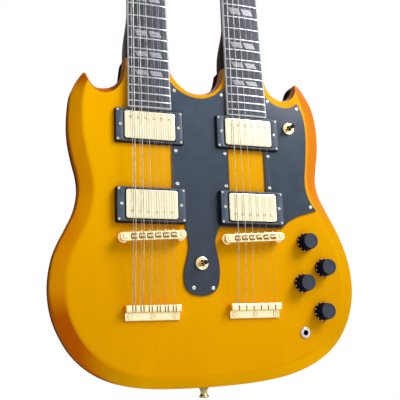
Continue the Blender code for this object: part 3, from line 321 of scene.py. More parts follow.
# Pickguard outline, as smooth runs that meet in corners
GUARD_RUNS = [
    [(-38, 208.5), (-38, 40)],
    [(-24.5, 24), (-21, 8), (-18.8, -9), (-22, -25), (-26, -41), (-25.5, -58), (-18.5, -68), (-4, -71.5),
     (10, -69), (18.5, -61), (22, -45), (21.5, -28), (18, -11), (18, 1), (24, 16.5)],
    [(114, 16.5), (125, 26), (139, 33.5), (154, 38), (168, 42)],
    [(168, 42), (160.5, 52), (154.5, 67), (153, 84), (156, 110), (158.8, 140), (158.6, 163), (155, 181),
     (148.5, 195)],
    [(148.5, 195), (143, 191), (136, 188), (128, 187), (117, 189), (107, 194.5), (99, 202)],
    [(36, 207), (24, 196), (8, 190), (-8, 190.5), (-25, 197), (-38, 208.5)],
]

# Headstock half outline: share of the half width, and share of the length
HEAD_SHAPE = [(0.60, 0.0), (0.62, 0.035), (0.82, 0.10), (0.92, 0.17), (1.0, 0.55), (1.0, 0.86),
              (0.93, 0.95), (0.62, 0.985), (0.0, 1.0)]

UNITS = {"12": -NECK_SPACING / 2, "6": NECK_SPACING / 2}
SIDES = {"low": -1, "high": 1}


# Frames

def at(x, y=0.0, z=0.0):
    return Matrix.Translation((x, y, z))


def turned(axis, degrees):
    return Matrix.Rotation(math.radians(degrees), 4, axis)


OUTWARD = turned("X", 90)
FACE = at(0, -BODY_DEPTH) @ OUTWARD
FACE_IN_METRES = at(0, -BODY_DEPTH * MM) @ OUTWARD
WORLD = Matrix.Identity(4)


def neck_frame(unit):
    """Across, along from the bridge line, and height above the fingerboard's top."""
    origin = at(UNITS[unit], -BODY_DEPTH - BOARD_RISE)
    return origin @ turned("X", -NECK_TILT) @ OUTWARD


def head_frame(unit):
    """Across, along from the nut's far side, and height above the headstock's face."""
    start = at(0, SCALE_LENGTH + NUT_LENGTH, -BOARD_THICK)
    return neck_frame(unit) @ start @ turned("X", -HEAD_TILT)


def bridge_frame(unit):
    return FACE @ at(UNITS[unit], BRIDGE_CENTRE) @ turned("Z", BRIDGE_SLANT)


# Materials

# A colour that a multiplied layer leaves as it is
FULL = (255, 255, 255)


def linear(rgb):
    """A colour of 0 to 255 as the shader needs it."""
    return tuple(((c / 255 + 0.055) / 1.055) ** 2.4 if c > 10 else c / 255 / 12.92 for c in rgb) + (1,)


def feed(tree, socket, value):
    """Links a socket to a source, or sets it to a number, a vector or a colour of 0 to 255."""
    if isinstance(value, bpy.types.NodeSocket):
        tree.links.new(value, socket)
    else:
        socket.default_value = linear(value) if socket.type == "RGBA" else value


def shade(tree, kind, output, inputs=(), **settings):
    """One output of a new shader node that has these inputs and settings."""
    made = tree.nodes.new("ShaderNode" + kind)
    for key, value in settings.items():
        setattr(made, key, value)
    for key, value in dict(inputs).items():
        feed(tree, made.inputs[key], value)
    return made.outputs[output]


class Look:
    """A procedural material, with short calls for the nodes that the looks share."""

    def __init__(self, name, roughness, metallic=0.0, ior=1.45, tint=FULL):
        self.mat = bpy.data.materials.new(name)
        self.mat.use_nodes = True
        self.set("Roughness", roughness)
        self.set("Metallic", metallic)
        self.set("IOR", ior)
        self.set("Specular Tint", tint)
        self.coords = self.node("TexCoord", "Object")
        self.facing = self.node("TexCoord", "Normal")

    def set(self, name, value):
        """Gives the surface a value, or a source that varies over it."""
        tree = self.mat.node_tree
        feed(tree, tree.nodes["Principled BSDF"].inputs[name], value)

    def node(self, kind, output, inputs=(), **settings):
        return shade(self.mat.node_tree, kind, output, inputs, **settings)

    def noise(self, scale, stretch=(1, 1, 1), detail=4.0, distortion=0.0):
        """Noise of about `scale` grains a metre, closer along the axes with a larger stretch."""
        vector = self.node("Mapping", "Vector", {"Scale": stretch, "Vector": self.coords})
        return self.node("TexNoise", "Fac", {"Scale": scale, "Detail": detail, "Distortion": distortion,
                                             "Vector": vector})

    def between(self, source, letter, low, high):
        """0 to 1 as one part of a vector goes from low to high."""
        part = self.node("SeparateXYZ", letter, {0: source})
        return self.node("MapRange", "Result", {"From Min": low, "From Max": high, "Value": part},
                         interpolation_type="SMOOTHSTEP")

    def along(self, letter, low, high):
        """0 to 1 between two places in face coordinates."""
        return self.between(self.coords, letter, low * MM, high * MM)

    def slope(self, letter, low, high):
        """0 to 1 by how far the surface faces along an axis."""
        return self.between(self.facing, letter, low, high)

    def openness(self, distance):
        """1 in the open, towards 0 beside other surfaces."""
        return self.node("AmbientOcclusion", "AO", {"Distance": distance * MM}, samples=6)

    def ramp(self, fac, stops):
        """Colours that change where the factor passes their stops."""
        colours = self.node("ValToRGB", "Color", {"Fac": fac})
        elements = colours.node.color_ramp.elements
        while len(elements) < len(stops):
            elements.new(0.5)
        for element, (position, colour) in zip(elements, stops):
            element.position = position
            element.color = linear(colour)
        return colours

    def tones(self, fac, dark, light, low=0.3, high=0.7):
        """Two colours that change where the factor goes from low to high."""
        return self.ramp(fac, [(low, dark), (high, light)])

    def level(self, fac, low, high):
        """A factor of 0 to 1 taken to a range of its own."""
        return self.node("MapRange", "Result", {"To Min": low, "To Max": high, "Value": fac})

    def both(self, *masks, operation="MULTIPLY"):
        """Where all of the masks hold, or with MAXIMUM, where any of them does."""
        result = masks[0]
        for mask in masks[1:]:
            result = self.node("Math", "Value", {0: result, 1: mask}, operation=operation)
        return result

    def mix(self, fac, first, second, blend="MIX"):
        """Two colours or sources, blended by a factor."""
        return self.node("Mix", 2, {"Factor": fac, 6: first, 7: second}, data_type="RGBA", blend_type=blend)

    def bump(self, fac, depth, strength):
        """Relief of a depth in millimetres."""
        relief = {"Strength": strength, "Distance": depth * MM, "Height": fac}
        self.set("Normal", self.node("Bump", "Normal", relief))

    def scuffs(self, scale, stretch, low, high, strength):
        """Fine wear in the gloss, with a roughness from low to high."""
        wear = self.noise(scale, stretch, 2.0)
        self.set("Roughness", self.level(wear, low, high))
        self.bump(wear, 0.01, strength)


def face_and_painted_light(look):
    """The flat face: amber, lighter towards the necks and darker on the far right, as painted light and
    shade.
    """
    # Painted light: the amber grows lighter towards the necks
    face = look.mix(look.along("Y", -190, 220), (231, 162, 0), (255, 186, 0))
    # Painted shade: the far right of the face is multiplied darker
    return look.mix(look.along("X", 100, 200), face, (246, 246, 246), "MULTIPLY")


def bevel_and_painted_light(look):
    """Orange bevel with painted light and shade by its facing, darker on the left and in the left horn."""
    right = look.mix(look.along("Y", 0, 90), (215, 156, 0), (220, 125, 0))
    upright = look.mix(look.slope("X", -0.2, 0.2), (255, 170, 0), right)
    # Painted shade: bevels that face down and to the left are darker
    downward = look.mix(look.slope("X", -0.35, 0.0), (222, 160, 0), (245, 177, 0))
    bevel = look.mix(look.slope("Y", -0.5, -0.25), downward, upright)
    leftward = look.slope("X", -0.2, -0.4)
    # Painted shade: the lower left bevel and the left cutaway's upward bevel take a darker orange
    shaded = look.both(leftward, look.slope("Y", 0.0, -0.16), look.along("Y", 20, -50))
    left_cutaway = look.both(look.slope("Y", 0.1, 0.4), look.along("X", -60, -90))
    painted_shade = look.both(shaded, left_cutaway, operation="MAXIMUM")
    bevel = look.mix(painted_shade, bevel, (208, 103, 0))
    # Painted shade: leftward bevels inside the left horn turn dark brown
    inside = look.both(leftward, look.along("Y", 170, 185), look.along("X", -150, -138))
    return look.mix(inside, bevel, (150, 84, 16))


def side_tones(look):
    """Dark brown sides and back that fade to amber at the rim, and sooner on the left."""
    side = look.tones(look.noise(160, (1, 0.05, 1), 4.0), (34, 17, 10), (56, 28, 15))
    rim = look.tones(look.along("Z", -20, -9.8), (74, 40, 12), (164, 96, 10), 0.0, 0.8)
    side = look.mix(look.along("Z", -24, -13), side, rim)
    left_wall = look.both(look.along("X", -125, -140), look.along("Z", -33, -13))
    return look.mix(left_wall, side, (204, 110, 24))


def body_lacquer():
    """Amber over vertical grain with a warm painted shade by the fittings; dark brown sides and back."""
    look = Look("amber_and_brown_lacquer", 0.2, ior=1.38, tint=(255, 200, 110))
    amber = look.mix(look.slope("Z", 0.9, 0.992), bevel_and_painted_light(look), face_and_painted_light(look))
    grain = look.noise(300, (1, 0.03, 0.05), 5.0)
    streaks = look.tones(grain, (238, 222, 200), FULL, 0.35, 0.65)
    amber = look.mix(0.15, amber, streaks, "MULTIPLY")
    clouds = look.tones(look.noise(9, (1, 0.6, 1), 2.0), (244, 238, 230), FULL, 0.35, 0.65)
    amber = look.mix(0.6, amber, clouds, "MULTIPLY")
    # Painted shade: a warmer, darker amber where ambient occlusion finds the fittings close
    beside = look.mix(look.between(look.openness(9), "X", 0.55, 0.95), (255, 226, 190), FULL)
    amber = look.mix(1.0, amber, beside, "MULTIPLY")
    on_face = look.along("Z", -11.6, -10.6)
    look.set("Base Color", look.mix(on_face, side_tones(look), amber))
    waist = look.both(look.along("Y", 20, 60), look.along("X", -60, 0))
    glossy = look.both(look.slope("Z", 0.99, 0.999), look.level(waist, 0.1, 1.0), operation="MAXIMUM")
    look.set("Specular IOR Level", look.level(look.both(on_face, glossy), 0.0, 0.12))
    look.set("Roughness", look.level(look.noise(60, detail=2.0), 0.16, 0.26))
    look.bump(grain, 0.01, 0.3)
    return look.mat


def dark_wood():
    """The necks' lacquered wood, with its grain along them."""
    look = Look("dark_brown_lacquer", 0.3, ior=1.03)
    grain = look.noise(260, (1, 0.04, 1), 5.0)
    shades = [(0.3, (24, 13, 9)), (0.55, (40, 22, 14)), (0.75, (58, 32, 19))]
    look.set("Base Color", look.ramp(grain, shades))
    look.set("Roughness", look.level(look.noise(50, detail=2.0), 0.2, 0.34))
    look.bump(grain, 0.03, 0.4)
    return look.mat


def rosewood():
    """Open-pored wood of the fingerboards, greyish as in the photo's light."""
    look = Look("oiled_rosewood", 0.5, ior=1.4)
    grain = look.noise(420, (1, 0.05, 1), 6.0)
    pores = look.noise(1500, (1, 0.06, 1), 2.0)
    wood = look.ramp(grain, [(0.3, (36, 41, 51)), (0.5, (56, 62, 77)), (0.72, (77, 82, 96))])
    dark = look.tones(pores, (120, 112, 112), FULL, 0.36, 0.46)
    look.set("Base Color", look.mix(0.8, wood, dark, "MULTIPLY"))
    look.set("Roughness", look.level(grain, 0.42, 0.58))
    look.bump(pores, 0.05, 0.5)
    return look.mat


def pearl():
    """Pale and dark cells with a swirl through them."""
    look = Look("pearl_inlay", 0.28, ior=1.5)
    swirl = look.noise(90, (1, 2, 1), 3.0, 2.0)
    warp = {0: look.coords, 1: look.level(swirl, 0.0, 8 * MM)}
    warped = look.node("VectorMath", "Vector", warp, operation="ADD")
    cells = look.node("TexVoronoi", "Distance", {"Scale": 260, "Vector": warped}, feature="SMOOTH_F1")
    shades = look.ramp(cells, [(0.1, (187, 189, 200)), (0.45, (134, 139, 152)), (0.8, (207, 198, 196))])
    look.set("Base Color", look.mix(0.5, shades, look.tones(swirl, (114, 121, 134), (216, 213, 220))))
    return look.mat


def plastic(name, dark, light, roughness, scale=70, wall_gloss=0.5, wall_shade=FULL):
    """Moulded plastic, slightly clouded, faint wear in the gloss; walls can be duller, with painted shade.
    """
    look = Look(name, roughness, ior=1.46)
    upward = look.slope("Z", 0.3, 0.8)
    look.set("Specular IOR Level", look.level(upward, wall_gloss, 0.5))
    cloud = look.tones(look.noise(scale, detail=3.0), dark, light)
    # Painted shade: the walls are multiplied by a darker colour
    look.set("Base Color", look.mix(1.0, cloud, look.mix(upward, wall_shade, FULL), "MULTIPLY"))
    look.scuffs(900, (1, 0.15, 1), roughness * 0.8, roughness * 1.35, 0.3)
    return look.mat


def guard_plastic():
    """Glossy black sheet with a painted reflection: bluish grey, lighter and bluer towards the necks."""
    look = Look("gloss_black_sheet", 0.16, ior=1.46)
    # Painted reflection: the black sheet's colour is lifted to a bluish grey
    base = look.mix(look.along("Y", -60, 200), (45, 57, 72), (57, 75, 94))
    cloud = look.tones(look.noise(40, detail=3.0), (205, 210, 218), FULL)
    look.set("Base Color", look.mix(0.8, base, cloud, "MULTIPLY"))
    look.scuffs(700, (1, 0.1, 1), 0.12, 0.24, 0.25)
    return look.mat


def metal(name, painted_shade, dark, light, roughness, brushed=(1, 1, 1)):
    """Plated metal: mottled sheen, and a painted shade that darkens its corners by ambient occlusion."""
    look = Look(name, roughness, metallic=1.0)
    sheen = look.tones(look.noise(120, brushed, 3.0), dark, light)
    # Painted shade: the corner colour where ambient occlusion finds other surfaces close
    unshaded_share = look.tones(look.openness(4), (0, 0, 0), FULL, 0.35, 0.85)
    look.set("Base Color", look.mix(unshaded_share, painted_shade, sheen))
    look.scuffs(600, brushed, roughness * 0.7, roughness * 1.5, 0.3)
    return look.mat


def wound_wire(name, dark, light, pitch):
    """String wire whose windings run round it, or plain wire where the pitch is none."""
    look = Look(name, 0.3, metallic=1.0)
    look.set("Base Color", look.tones(look.noise(300, (1, 0.3, 1), 2.0), dark, light))
    if pitch:
        waves = {"Scale": 1 / (20 * pitch * MM), "Vector": look.coords}
        look.bump(look.node("TexWave", "Fac", waves, wave_type="BANDS", bands_direction="Y"), 0.08, 0.6)
    return look.mat


# Each look with its slot; a metal's first colour is its painted corner shade
AMBER = (body_lacquer(), "amber_lacquer")
DARK_WOOD = (dark_wood(), "dark_lacquered_wood")
ROSEWOOD = (rosewood(), "fingerboard_wood")
PEARL = (pearl(), "ivory_plastic")
BLACK = (plastic("gloss_black_plastic", (14, 18, 24), (26, 32, 40), 0.2), "black_plastic")
# Painted shade on the ring and knob walls; the rings' bluish grey is a painted reflection
RING_BLACK = (plastic("satin_ring_plastic", (58, 71, 88), (75, 90, 111), 0.3, wall_gloss=0.1,
                      wall_shade=(120, 116, 112)), "black_plastic")
KNOB_BLACK = (plastic("knob_plastic", (26, 35, 50), (42, 52, 70), 0.3, wall_gloss=0.02,
                      wall_shade=(120, 140, 190)), "black_plastic")
GUARD = (guard_plastic(), "black_plastic")
IVORY = (plastic("ivory_binding", (172, 177, 188), (202, 204, 210), 0.32, 140), "ivory_plastic")
WHITE = (plastic("white_mark", (236, 238, 240), (250, 250, 250), 0.4, 200), "ivory_plastic")
GOLD = (metal("gold_plate", (238, 200, 132), (255, 238, 182), (255, 250, 210), 0.16), "gold_plate")
# Strap knobs: a dark gold painted to stand for the dark reflections in their polished brass
DARKENED_GOLD = (metal("painted_dark_gold", (98, 82, 46), (160, 146, 98), (186, 172, 124), 0.28), "gold_plate")
PALE_GOLD = (metal("brushed_gold_cover", (216, 196, 150), (252, 240, 203), (255, 250, 220), 0.14,
                   (4, 0.4, 1)), "gold_plate")
# Pole heads: a darker gold than the covers, a painted shade for their recessed look
POLE_GOLD = (metal("pole_gold_plate", (140, 122, 84), (222, 206, 162), (246, 236, 202), 0.2), "gold_plate")
SCREW = (metal("pale_screws", (150, 144, 130), (236, 234, 222), (255, 254, 246), 0.18), "chrome_plate")
CHROME = (metal("chrome_plate", (110, 112, 118), (206, 210, 216), (236, 238, 242), 0.12), "chrome_plate")
NICKEL = (metal("fret_nickel", (118, 122, 128), (186, 190, 198), (214, 218, 226), 0.2, (1, 4, 1)),
          "chrome_plate")
PLAIN_WIRE = (wound_wire("plain_string", (124, 122, 122), (172, 170, 165), 0), "string_wire")
WOUND_WIRE = (wound_wire("wound_string", (150, 146, 140), (205, 198, 186), 0.35), "string_wire")
VENEER = (plastic("head_veneer", (12, 13, 16), (22, 24, 28), 0.3, 30), "black_plastic")


# Shapes

def smooth_run(points, steps):
    """A run of points through the given ones, rounded between them."""
    padded = [points[0]] + list(points) + [points[-1]]
    result = []
    for a, b, c, d in zip(padded, padded[1:], padded[2:], padded[3:]):
        for step in range(steps):
            t = step / steps
            result.append(tuple(
                0.5 * (2 * q + (r - p) * t + (2 * p - 5 * q + 4 * r - s) * t * t
                       + (3 * q - p - 3 * r + s) * t ** 3)
                for p, q, r, s in zip(a, b, c, d)))
    result.append(tuple(points[-1]))
    return result


def inward(outline):
    """At each point of an outline, the direction in which its inside lies."""
    count = len(outline)
    area = sum(outline[i - 1][0] * outline[i][1] - outline[i][0] * outline[i - 1][1] for i in range(count))
    turn = -1 if area > 0 else 1
    result = []
    for i in range(count):
        here = Vector(outline[i][:2])
        before = (here - Vector(outline[i - 1][:2])).normalized()
        after = (Vector(outline[(i + 1) % count][:2]) - here).normalized()
        first = Vector((before.y, -before.x)) * turn
        second = Vector((after.y, -after.x)) * turn
        mitre = (first + second).normalized()
        result.append(mitre / max(mitre.dot(first), 0.4))
    return result


def inset(outline, distance):
    """An outline moved inward, or outward where the distance is negative."""
    return [(x + d.x * distance, y + d.y * distance) for (x, y), d in zip(outline, inward(outline))]


def rounded_rectangle(width, height, radius, centre=(0, 0), steps=5):
    points = []
    for quarter, (sx, sy) in enumerate(((1, 1), (-1, 1), (-1, -1), (1, -1))):
        for step in range(steps + 1):
            angle = math.radians(90) * (quarter + step / steps)
            points.append((centre[0] + sx * (width / 2 - radius) + radius * math.cos(angle),
                           centre[1] + sy * (height / 2 - radius) + radius * math.sin(angle)))
    return points


def circle(radius, steps, centre=(0, 0), phase=0.0):
    return [(centre[0] + radius * math.cos(2 * math.pi * (i + phase) / steps),
             centre[1] + radius * math.sin(2 * math.pi * (i + phase) / steps)) for i in range(steps)]


def mirrored(right):
    """The whole outline of a right half that ends on the middle line."""
    return right + [(-x, y) for x, y in reversed(right[:-1])]


# A rounded edge, from the flat to the side: shares of its radius inwards and down, with a
# last narrow flat that keeps the shading of the big face level
ROUNDING = [(1.5, 0.0), (1.0, 0.0), (0.5, 0.134), (0.134, 0.5), (0.0, 1.0)]


class Shape:
    """Closed solids gathered for one piece."""

    def __init__(self):
        self.bm = bmesh.new()

    def loft(self, rings, place=None, loop=False):
        """A solid through rings of equally many points, capped unless it closes on itself."""
        rows = [[self.bm.verts.new(point) for point in ring] for ring in rings]
        count = len(rows[0])
        pairs = list(zip(rows, rows[1:]))
        if loop:
            pairs.append((rows[-1], rows[0]))
        faces = []
        for lower, upper in pairs:
            for i in range(count):
                j = (i + 1) % count
                faces.append(self.bm.faces.new((lower[i], lower[j], upper[j], upper[i])))
        if not loop:
            faces.append(self.bm.faces.new(rows[0]))
            faces.append(self.bm.faces.new(rows[-1]))
        bmesh.ops.recalc_face_normals(self.bm, faces=faces)
        if place is not None:
            bmesh.ops.transform(self.bm, matrix=place, verts=[v for row in rows for v in row])
        return self

    def plate(self, outline, low, high, edge=0.0, place=None, both=False):
        """An outline extruded from low to high, with a rounded top edge, and bottom edge if asked."""
        sharp = [(0.0, 0.0)]
        below = ROUNDING if edge and both else sharp
        above = ROUNDING if edge else sharp
        rings = [(inset(outline, edge * reach), low + edge * drop) for reach, drop in below]
        rings += [(inset(outline, edge * reach), high - edge * drop) for reach, drop in reversed(above)]
        return self.loft([[(x, y, z) for x, y in ring] for ring, z in rings], place)

    def box(self, centre, size, edge=0.0, place=None):
        outline = rounded_rectangle(size[0], size[1], max(edge * 1.6, 0.05), centre[:2], 3)
        low, high = centre[2] - size[2] / 2, centre[2] + size[2] / 2
        return self.plate(outline, low, high, edge, place, both=True)

    def turn(self, profile, steps, place=None, flutes=0, flute_depth=0.0, fluted=(), loop=False):
        """A profile of (radius, height) turned about Z; the fluted rows wave in and out, and a
        closed profile leaves its hole open."""
        rings = []
        for row, (radius, height) in enumerate(profile):
            ring = []
            for i in range(steps):
                angle = 2 * math.pi * i / steps
                wave = flute_depth * (0.5 - 0.5 * math.cos(flutes * angle)) if row in fluted else 0.0
                reach = max(radius, 0.02) - wave
                ring.append((reach * math.cos(angle), reach * math.sin(angle), height))
            rings.append(ring)
        return self.loft(rings, place, loop)

    def sweep(self, points, radii, sides=8):
        """A wire of round section along points, with a radius at each."""
        points = [Vector(point) for point in points]
        ahead = (points[1] - points[0]).normalized()
        side = ahead.orthogonal().normalized()
        rings = []
        for i, point in enumerate(points):
            after = (points[min(i + 1, len(points) - 1)] - point).normalized()
            before = (point - points[max(i - 1, 0)]).normalized()
            heading = (after + before).normalized()
            side = (ahead.rotation_difference(heading) @ side).normalized()
            ahead = heading
            other = ahead.cross(side)
            rings.append([point + side * radii[i] * math.cos(a) + other * radii[i] * math.sin(a)
                          for a in (2 * math.pi * k / sides for k in range(sides))])
        return self.loft(rings)

    def mesh(self, name):
        made = bpy.data.meshes.new(name)
        self.bm.to_mesh(made)
        self.bm.free()
        return made


def solid(name, shape, place=FACE):
    """A new object from a shape, still in millimetres."""
    obj = bpy.data.objects.new(name, shape.mesh(name))
    obj.matrix_world = place
    bpy.context.scene.collection.objects.link(obj)
    return obj


def carve(obj, shape, operation="DIFFERENCE", place=FACE):
    """Cuts a shape out of an object, or joins it on, and applies that at once."""
    other = solid("cutter", shape, place)
    modifier = obj.modifiers.new("carve", "BOOLEAN")
    modifier.operation = operation
    modifier.object = other
    bpy.context.view_layer.update()
    graph = bpy.context.evaluated_depsgraph_get()
    carved = bpy.data.meshes.new_from_object(obj.evaluated_get(graph))
    obj.modifiers.remove(modifier)
    obj.data = carved
    bpy.data.objects.remove(other, do_unlink=True)


def dress(obj, look, body=GUITAR, replaces="", crease=38):
    """Shades a finished solid, turns it to metres and gives it its material and body."""
    material, slot = look
    obj.data.transform(Matrix.Scale(MM, 4) @ FACE.inverted() @ obj.matrix_world)
    obj.matrix_world = FACE_IN_METRES
    obj.data.materials.clear()
    obj.data.materials.append(material)
    obj.data.shade_smooth()
    obj.data.set_sharp_from_angle(angle=math.radians(crease))
    if replaces:
        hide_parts(replaces)
    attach(obj, body)


def piece(name, shape, look, place=FACE, body=GUITAR, replaces="", crease=38):
    """A finished piece from a shape that needs no cutting."""
    dress(solid(name, shape, place), look, body, replaces, crease)


def sector(radius, gap, part, parts):
    """The outline of one piece of a disc that grooves divide into halves or quarters."""
    half = gap / 2
    low = math.asin(half / radius)
    high = 2 * math.pi / parts - low
    arc = [(radius * math.cos(a), radius * math.sin(a))
           for a in (low + (high - low) * i / 6 for i in range(7))]
    corner = [(half, half)] if parts == 4 else [(0, half)]
    turn = 2 * math.pi * part / parts
    return [(x * math.cos(turn) - y * math.sin(turn), x * math.sin(turn) + y * math.cos(turn))
            for x, y in corner + arc]


def slotted_head(shape, place, radius, height):
    """A flat cheese head with one slot right across."""
    shape.turn([(radius, 0), (radius, height * 0.45)], 20, place)
    for part in range(2):
        shape.plate(sector(radius, radius * 0.26, part, 2), height * 0.45, height, height * 0.2, place)


def cross_head(shape, place, radius, height):
    """A domed head with a cross recess."""
    inner = radius * 0.6
    base = height * 0.4
    shape.turn([(inner, 0), (inner, base)], 16, place)
    shape.turn([(radius, 0), (radius, height * 0.3), (radius * 0.9, height * 0.65),
                (radius * 0.75, height * 0.85), (inner, height), (inner, 0)], 16, place, loop=True)
    for part in range(4):
        shape.plate(sector(inner, radius * 0.22, part, 4), base, height * 1.03, 0, place)


def screws(name, places, size, look, head=cross_head):
    """Heads of screws at places that are matrices in the world, each turned on from the last."""
    shape = Shape()
    for index, place in enumerate(places):
        head(shape, place @ turned("Z", 37 * index), *size)
    piece(name, shape, look, WORLD)


def six_across(pitch):
    """Six places across, evenly about the middle."""
    return [(i - 2.5) * pitch for i in range(6)]


# Body

def bevel_steps(stations, rim):
    """At each station, the way from the rim to the face line, or a small tuck at the shoulders."""
    steps = []
    for station, direction in zip(stations, inward(rim)):
        step = Vector((station[2] - station[0], station[3] - station[1]))
        if step.length < SHOULDER_TUCK:
            step = direction.normalized() * SHOULDER_TUCK
        steps.append(step)
    return steps


def body_rings():
    """The body's outline at each height, round the back's edge and up the bevel to the face."""
    stations = smooth_run(OUTER_RUN, OUTLINE_STEPS) + smooth_run(CENTRE_RUN, OUTLINE_STEPS)
    rim = [station[:2] for station in stations]
    steps = bevel_steps(stations, rim)
    levels = [([min(gap / step.length, BACK_SHARE) for step in steps], height)
              for gap, height in BACK_CURVE]
    levels += [([share] * len(steps), height) for share, height in BEVEL_CURVE]
    return [[(x + step.x * share, y + step.y * share, height)
             for (x, y), step, share in zip(rim, steps, shares)] for shares, height in levels]


def cover_outline(extra=0.0):
    """The rear cover, which lies on a lip round its cavity."""
    return inset(CONTROL_CAVITY, -COVER_LIP - extra)


def body_holes():
    """Holes for the knobs' shafts, the jack, the switches and the bridge posts."""
    holes = Shape()
    for place in KNOBS.values():
        holes.plate(circle(SHAFT_HOLE, 24, place), -FACE_WALL - PAST, PAST)
    holes.plate(circle(JACK_RADIUS + SEAT, 24, JACK_PLACE), -FACE_WALL - PAST, PAST)
    for place in SWITCHES.values():
        holes.plate(circle(SWITCH_BUSH_RADIUS + SEAT, 24, place), -SWITCH_DEPTH - SEAT, PAST)
    for unit in UNITS:
        for side in SIDES.values():
            spot = FACE.inverted() @ bridge_frame(unit) @ at(side * STUD_SPACING / 2)
            holes.plate(circle(STUD_RADIUS + SEAT, 20), -STUD_DEPTH - SEAT, PAST, 0, spot)
    return holes


def build_body():
    body = solid("body_shell", Shape().loft(body_rings()))
    back = -BODY_DEPTH
    carve(body, Shape().plate(CONTROL_CAVITY, back - PAST, -FACE_WALL))
    carve(body, Shape().plate(cover_outline(SEAT), back - PAST, back + COVER_THICK + SEAT))
    carve(body, body_holes())
    dress(body, AMBER, replaces="body", crease=50)


def build_rear_cover():
    back = FACE @ at(0, 0, REAR_GAP - BODY_DEPTH) @ turned("Y", 180)
    outline = [(-x, y) for x, y in cover_outline()]
    plate = Shape().plate(outline, REAR_GAP - COVER_THICK, 0, 0.4)
    piece("rear_cover", plate, BLACK, back, replaces="control_cover")
    sunk = [back @ at(-x, y, -REAR_SINK) for x, y in COVER_SCREWS]
    screws("rear_cover_screws", sunk, REAR_HEAD, GOLD)


# Pickguard

def guard_outline():
    points = []
    for run in GUARD_RUNS:
        smooth = smooth_run(run, 5) if len(run) > 2 else list(run)
        if points and math.dist(points[-1], smooth[0]) < SAME_POINT:
            smooth = smooth[1:]
        points += smooth
    if math.dist(points[0], points[-1]) < SAME_POINT:
        points.pop()
    return points


def build_pickguard():
    """A sheet cut out round the pickups, the six-string's strings and board, and the switches."""
    guard = solid("pickguard_sheet", Shape().plate(guard_outline(), SEAT, GUARD_TOP, GUARD_EDGE))
    low, high = PICKUP_LINES["bridge"], PICKUP_LINES["neck"]
    left, right = GUARD_WINDOW
    ring = [side + 2 * SEAT for side in RING_SIZE]
    cuts = []
    for line in (low, high):
        cuts.append(rounded_rectangle(*ring, CORNER, (UNITS["12"], line)))
        cuts.append(rounded_rectangle(*GUARD_OPENING, CORNER, (UNITS["6"], line)))
    cuts.append(rounded_rectangle(right - left, high - low, 0.5, ((left + right) / 2, (low + high) / 2)))
    board = (BOARD_END_WIDTH + 1.2, SHOULDER - high)
    cuts.append(rounded_rectangle(*board, 0.5, (UNITS["6"], (high + SHOULDER) / 2)))
    cuts += [circle(SWITCH_BUSH_RADIUS + SEAT, 24, place) for place in SWITCHES.values()]
    for cut in cuts:
        carve(guard, Shape().plate(cut, 0, GUARD_TOP + PAST))
    dress(guard, GUARD, replaces="pickguard", crease=30)
    places = [FACE @ at(x, y, GUARD_TOP) for x, y in GUARD_SCREWS]
    screws("pickguard_screws", places, GUARD_HEAD, SCREW)


# Pickups

def ring_seat(unit):
    return SEAT if unit == "12" else GUARD_TOP + SEAT


def drawn_in(size, gap, height):
    """A rounded rectangle made smaller by a gap on every side, at a height."""
    outline = rounded_rectangle(size[0] - 2 * gap, size[1] - 2 * gap, CORNER)
    return [(x, y, height) for x, y in outline]


def ring_solid(low, high):
    """A mounting ring with drafted sides and softened edges, all round its opening."""
    hole = [side + 2 * COVER_GAP for side in COVER_SIZE]
    draft, edge = RING_DRAFT, RING_EDGE
    rows = [(RING_SIZE, 0, low), (RING_SIZE, 0.15, low + 1.5), (RING_SIZE, draft - edge, high - edge),
            (RING_SIZE, draft - 0.55 * edge, high - 0.25 * edge), (RING_SIZE, draft, high),
            (hole, -0.5, high), (hole, -0.1, high - 0.2), (hole, 0, high - 0.6), (hole, 0, low)]
    return Shape().loft([drawn_in(*row) for row in rows], loop=True)


def cover_solid(high):
    """A drawn lid with round corners and a rolled top edge: rows of inset and drop."""
    rows = [(0, COVER_DEPTH), (0, 1.6), (0.15, 1.0), (0.5, 0.45), (1.1, 0.1), (1.8, 0), (2.4, 0)]
    return Shape().loft([drawn_in(COVER_SIZE, gap, high - drop) for gap, drop in rows])


def build_pickup(unit, position, spot):
    label = f"{unit}_{position}"
    low = ring_seat(unit)
    high = low + RING_HEIGHT[position]
    top = high + COVER_PROUD
    ring, lid = ring_solid(low, high), cover_solid(top)
    piece("mounting_ring_" + label, ring, RING_BLACK, spot, replaces="pickup_ring_" + label)
    piece("pickup_cover_" + label, lid, PALE_GOLD, spot, replaces="pickup_" + label)
    side = POLE_OFFSET if position == "neck" else -POLE_OFFSET
    poles = [spot @ at(x, side, top - 0.4) for x in six_across(POLE_PITCH)]
    screws("pole_heads_" + label, poles, POLE_HEAD, POLE_GOLD, slotted_head)
    x, y = RING_SCREWS
    corners = [spot @ at(sx * x, sy * y, high - 0.2) for sx in (-1, 1) for sy in (-1, 1)]
    screws("ring_screws_" + label, corners, RING_HEAD, SCREW)
    ends = [spot @ at(side * HEIGHT_SCREWS, 0, high - 0.2) for side in (-1, 1)]
    screws("height_screws_" + label, ends, HEIGHT_HEAD, SCREW)


def build_pickups():
    for unit, across in UNITS.items():
        for position, along in PICKUP_LINES.items():
            build_pickup(unit, position, FACE @ at(across, along))


# Necks and headstocks

def board_width(along):
    share = (along - BOARD_END) / (SCALE_LENGTH - BOARD_END)
    return BOARD_END_WIDTH + (NUT_WIDTH - BOARD_END_WIDTH) * share


def neck_section(along, half_width, depth, fullness=0.75, drop=0.0, lean=0.0):
    """A D-shaped section below the fingerboard; lean shears it back along the neck."""
    ring = []
    points = 25
    for i in range(points):
        angle = math.pi * i / (points - 1)
        z = -BOARD_THICK - 0.1 - drop - depth * math.sin(angle) ** fullness
        ring.append((half_width * math.cos(angle), along - z * lean, z))
    return ring


